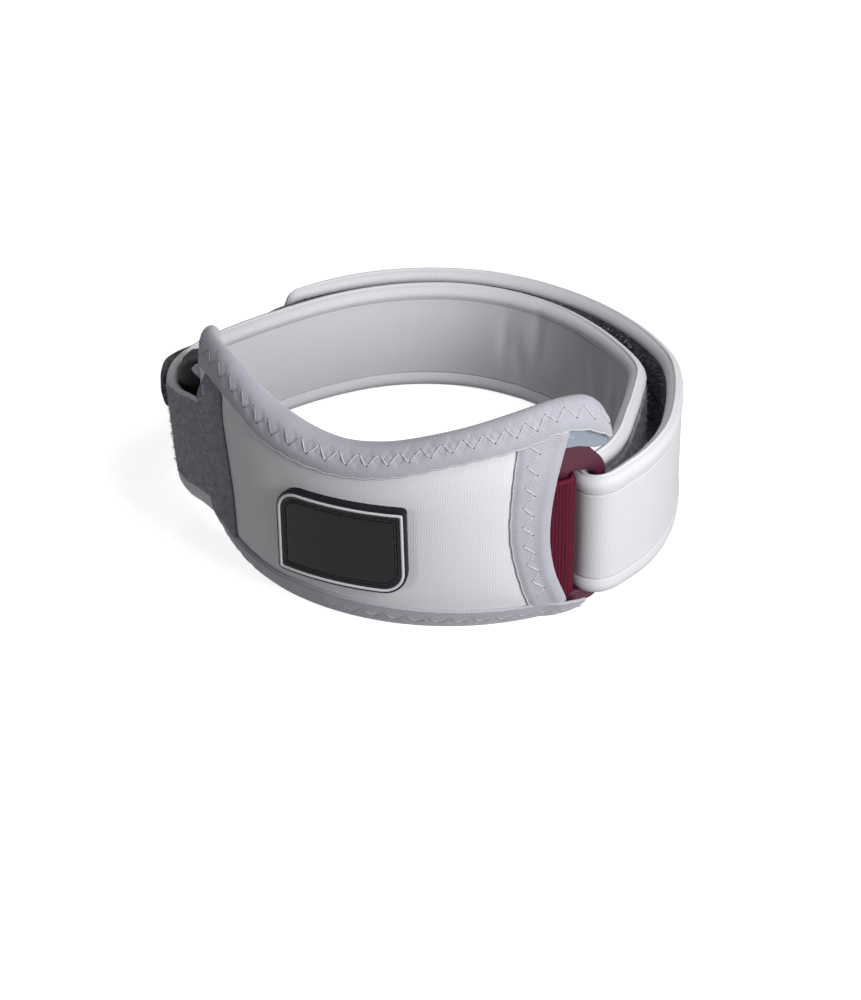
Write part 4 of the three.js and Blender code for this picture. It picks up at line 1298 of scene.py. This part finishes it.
def area_light(name, place, target, size, power):
    lamp = bpy.data.lights.new(name, "AREA")
    lamp.shape = "DISK"
    lamp.size = size
    lamp.energy = power
    made = placed(name, lamp)
    made.location = place
    aimed(made, target)


def floor():
    size = 6.0
    corners = [(-size, -size, 0), (size, -size, 0), (size, size, 0), (-size, size, 0)]
    mesh = bpy.data.meshes.new("floor")
    mesh.from_pydata(corners, [], [(0, 1, 2, 3)])
    made = placed("floor", mesh)
    finish = Finish("floor_white", 0.9)
    grain = finish.noise(finish.object_space(), 3.0, 2.0)
    finish.colours(grain, (0.3, (0.93, 0.93, 0.93, 1)), (0.7, (0.95, 0.95, 0.95, 1)))
    mesh.materials.append(finish.material)
    finish.set("Emission Color", (1, 1, 1, 1))
    finish.set("Emission Strength", 0.8)
    made.visible_diffuse = False


def studio_light():
    world = bpy.data.worlds.new("studio")
    world.use_nodes = True
    background = world.node_tree.nodes["Background"]
    background.inputs["Color"].default_value = (0.96, 0.97, 1.0, 1)
    background.inputs["Strength"].default_value = 0.1
    bpy.context.scene.world = world
    area_light("key", (0.519, -0.199, 0.245), (0, 0, 0.02), 0.33, 3.2)
    area_light("top_right", (0.18, -0.04, 0.4), (0.05, 0.01, 0.03), 0.2, 0.52)
    area_light("back", (-0.5, 1.2, 0.14), (0, 0, 0.02), 0.26, 3.4)
    area_light("front_left", (-0.6, -1.15, 0.17), (0, 0, 0.02), 0.32, 2.05)
    bpy.context.scene.view_settings.view_transform = "Standard"


def camera():
    azimuth, elevation, distance = math.radians(25), math.radians(33), 1.0
    lens = bpy.data.cameras.new("camera")
    lens.sensor_width = 36
    lens.lens = 148.7
    made = placed("camera", lens)
    target = Vector(PLAN_ORIGIN * MM)
    level = distance * math.cos(elevation)
    back = (level * math.sin(azimuth), -level * math.cos(azimuth), distance * math.sin(elevation))
    made.location = target + Vector(back)
    aimed(made, target)
    bpy.context.scene.camera = made


sewing = Threads()
front_pad()
pad_end()
stiffener_plate()
front_cover()
top_binding(sewing)
bottom_binding(sewing)
right_edge_binding(sewing)
left_edge_binding(sewing)
made = sewing.build("binding_sewing", [THREAD_LIGHT, NEEDLE_HOLE_PAINTED_SHADE, THREAD_PAINTED_SHADE, THREAD_EDGE])
part_of(made, "binding_tape")
badge()
ring()
ring_webbing()
strap()
strap_pile()
hook_strip()
floor()
studio_light()
camera()
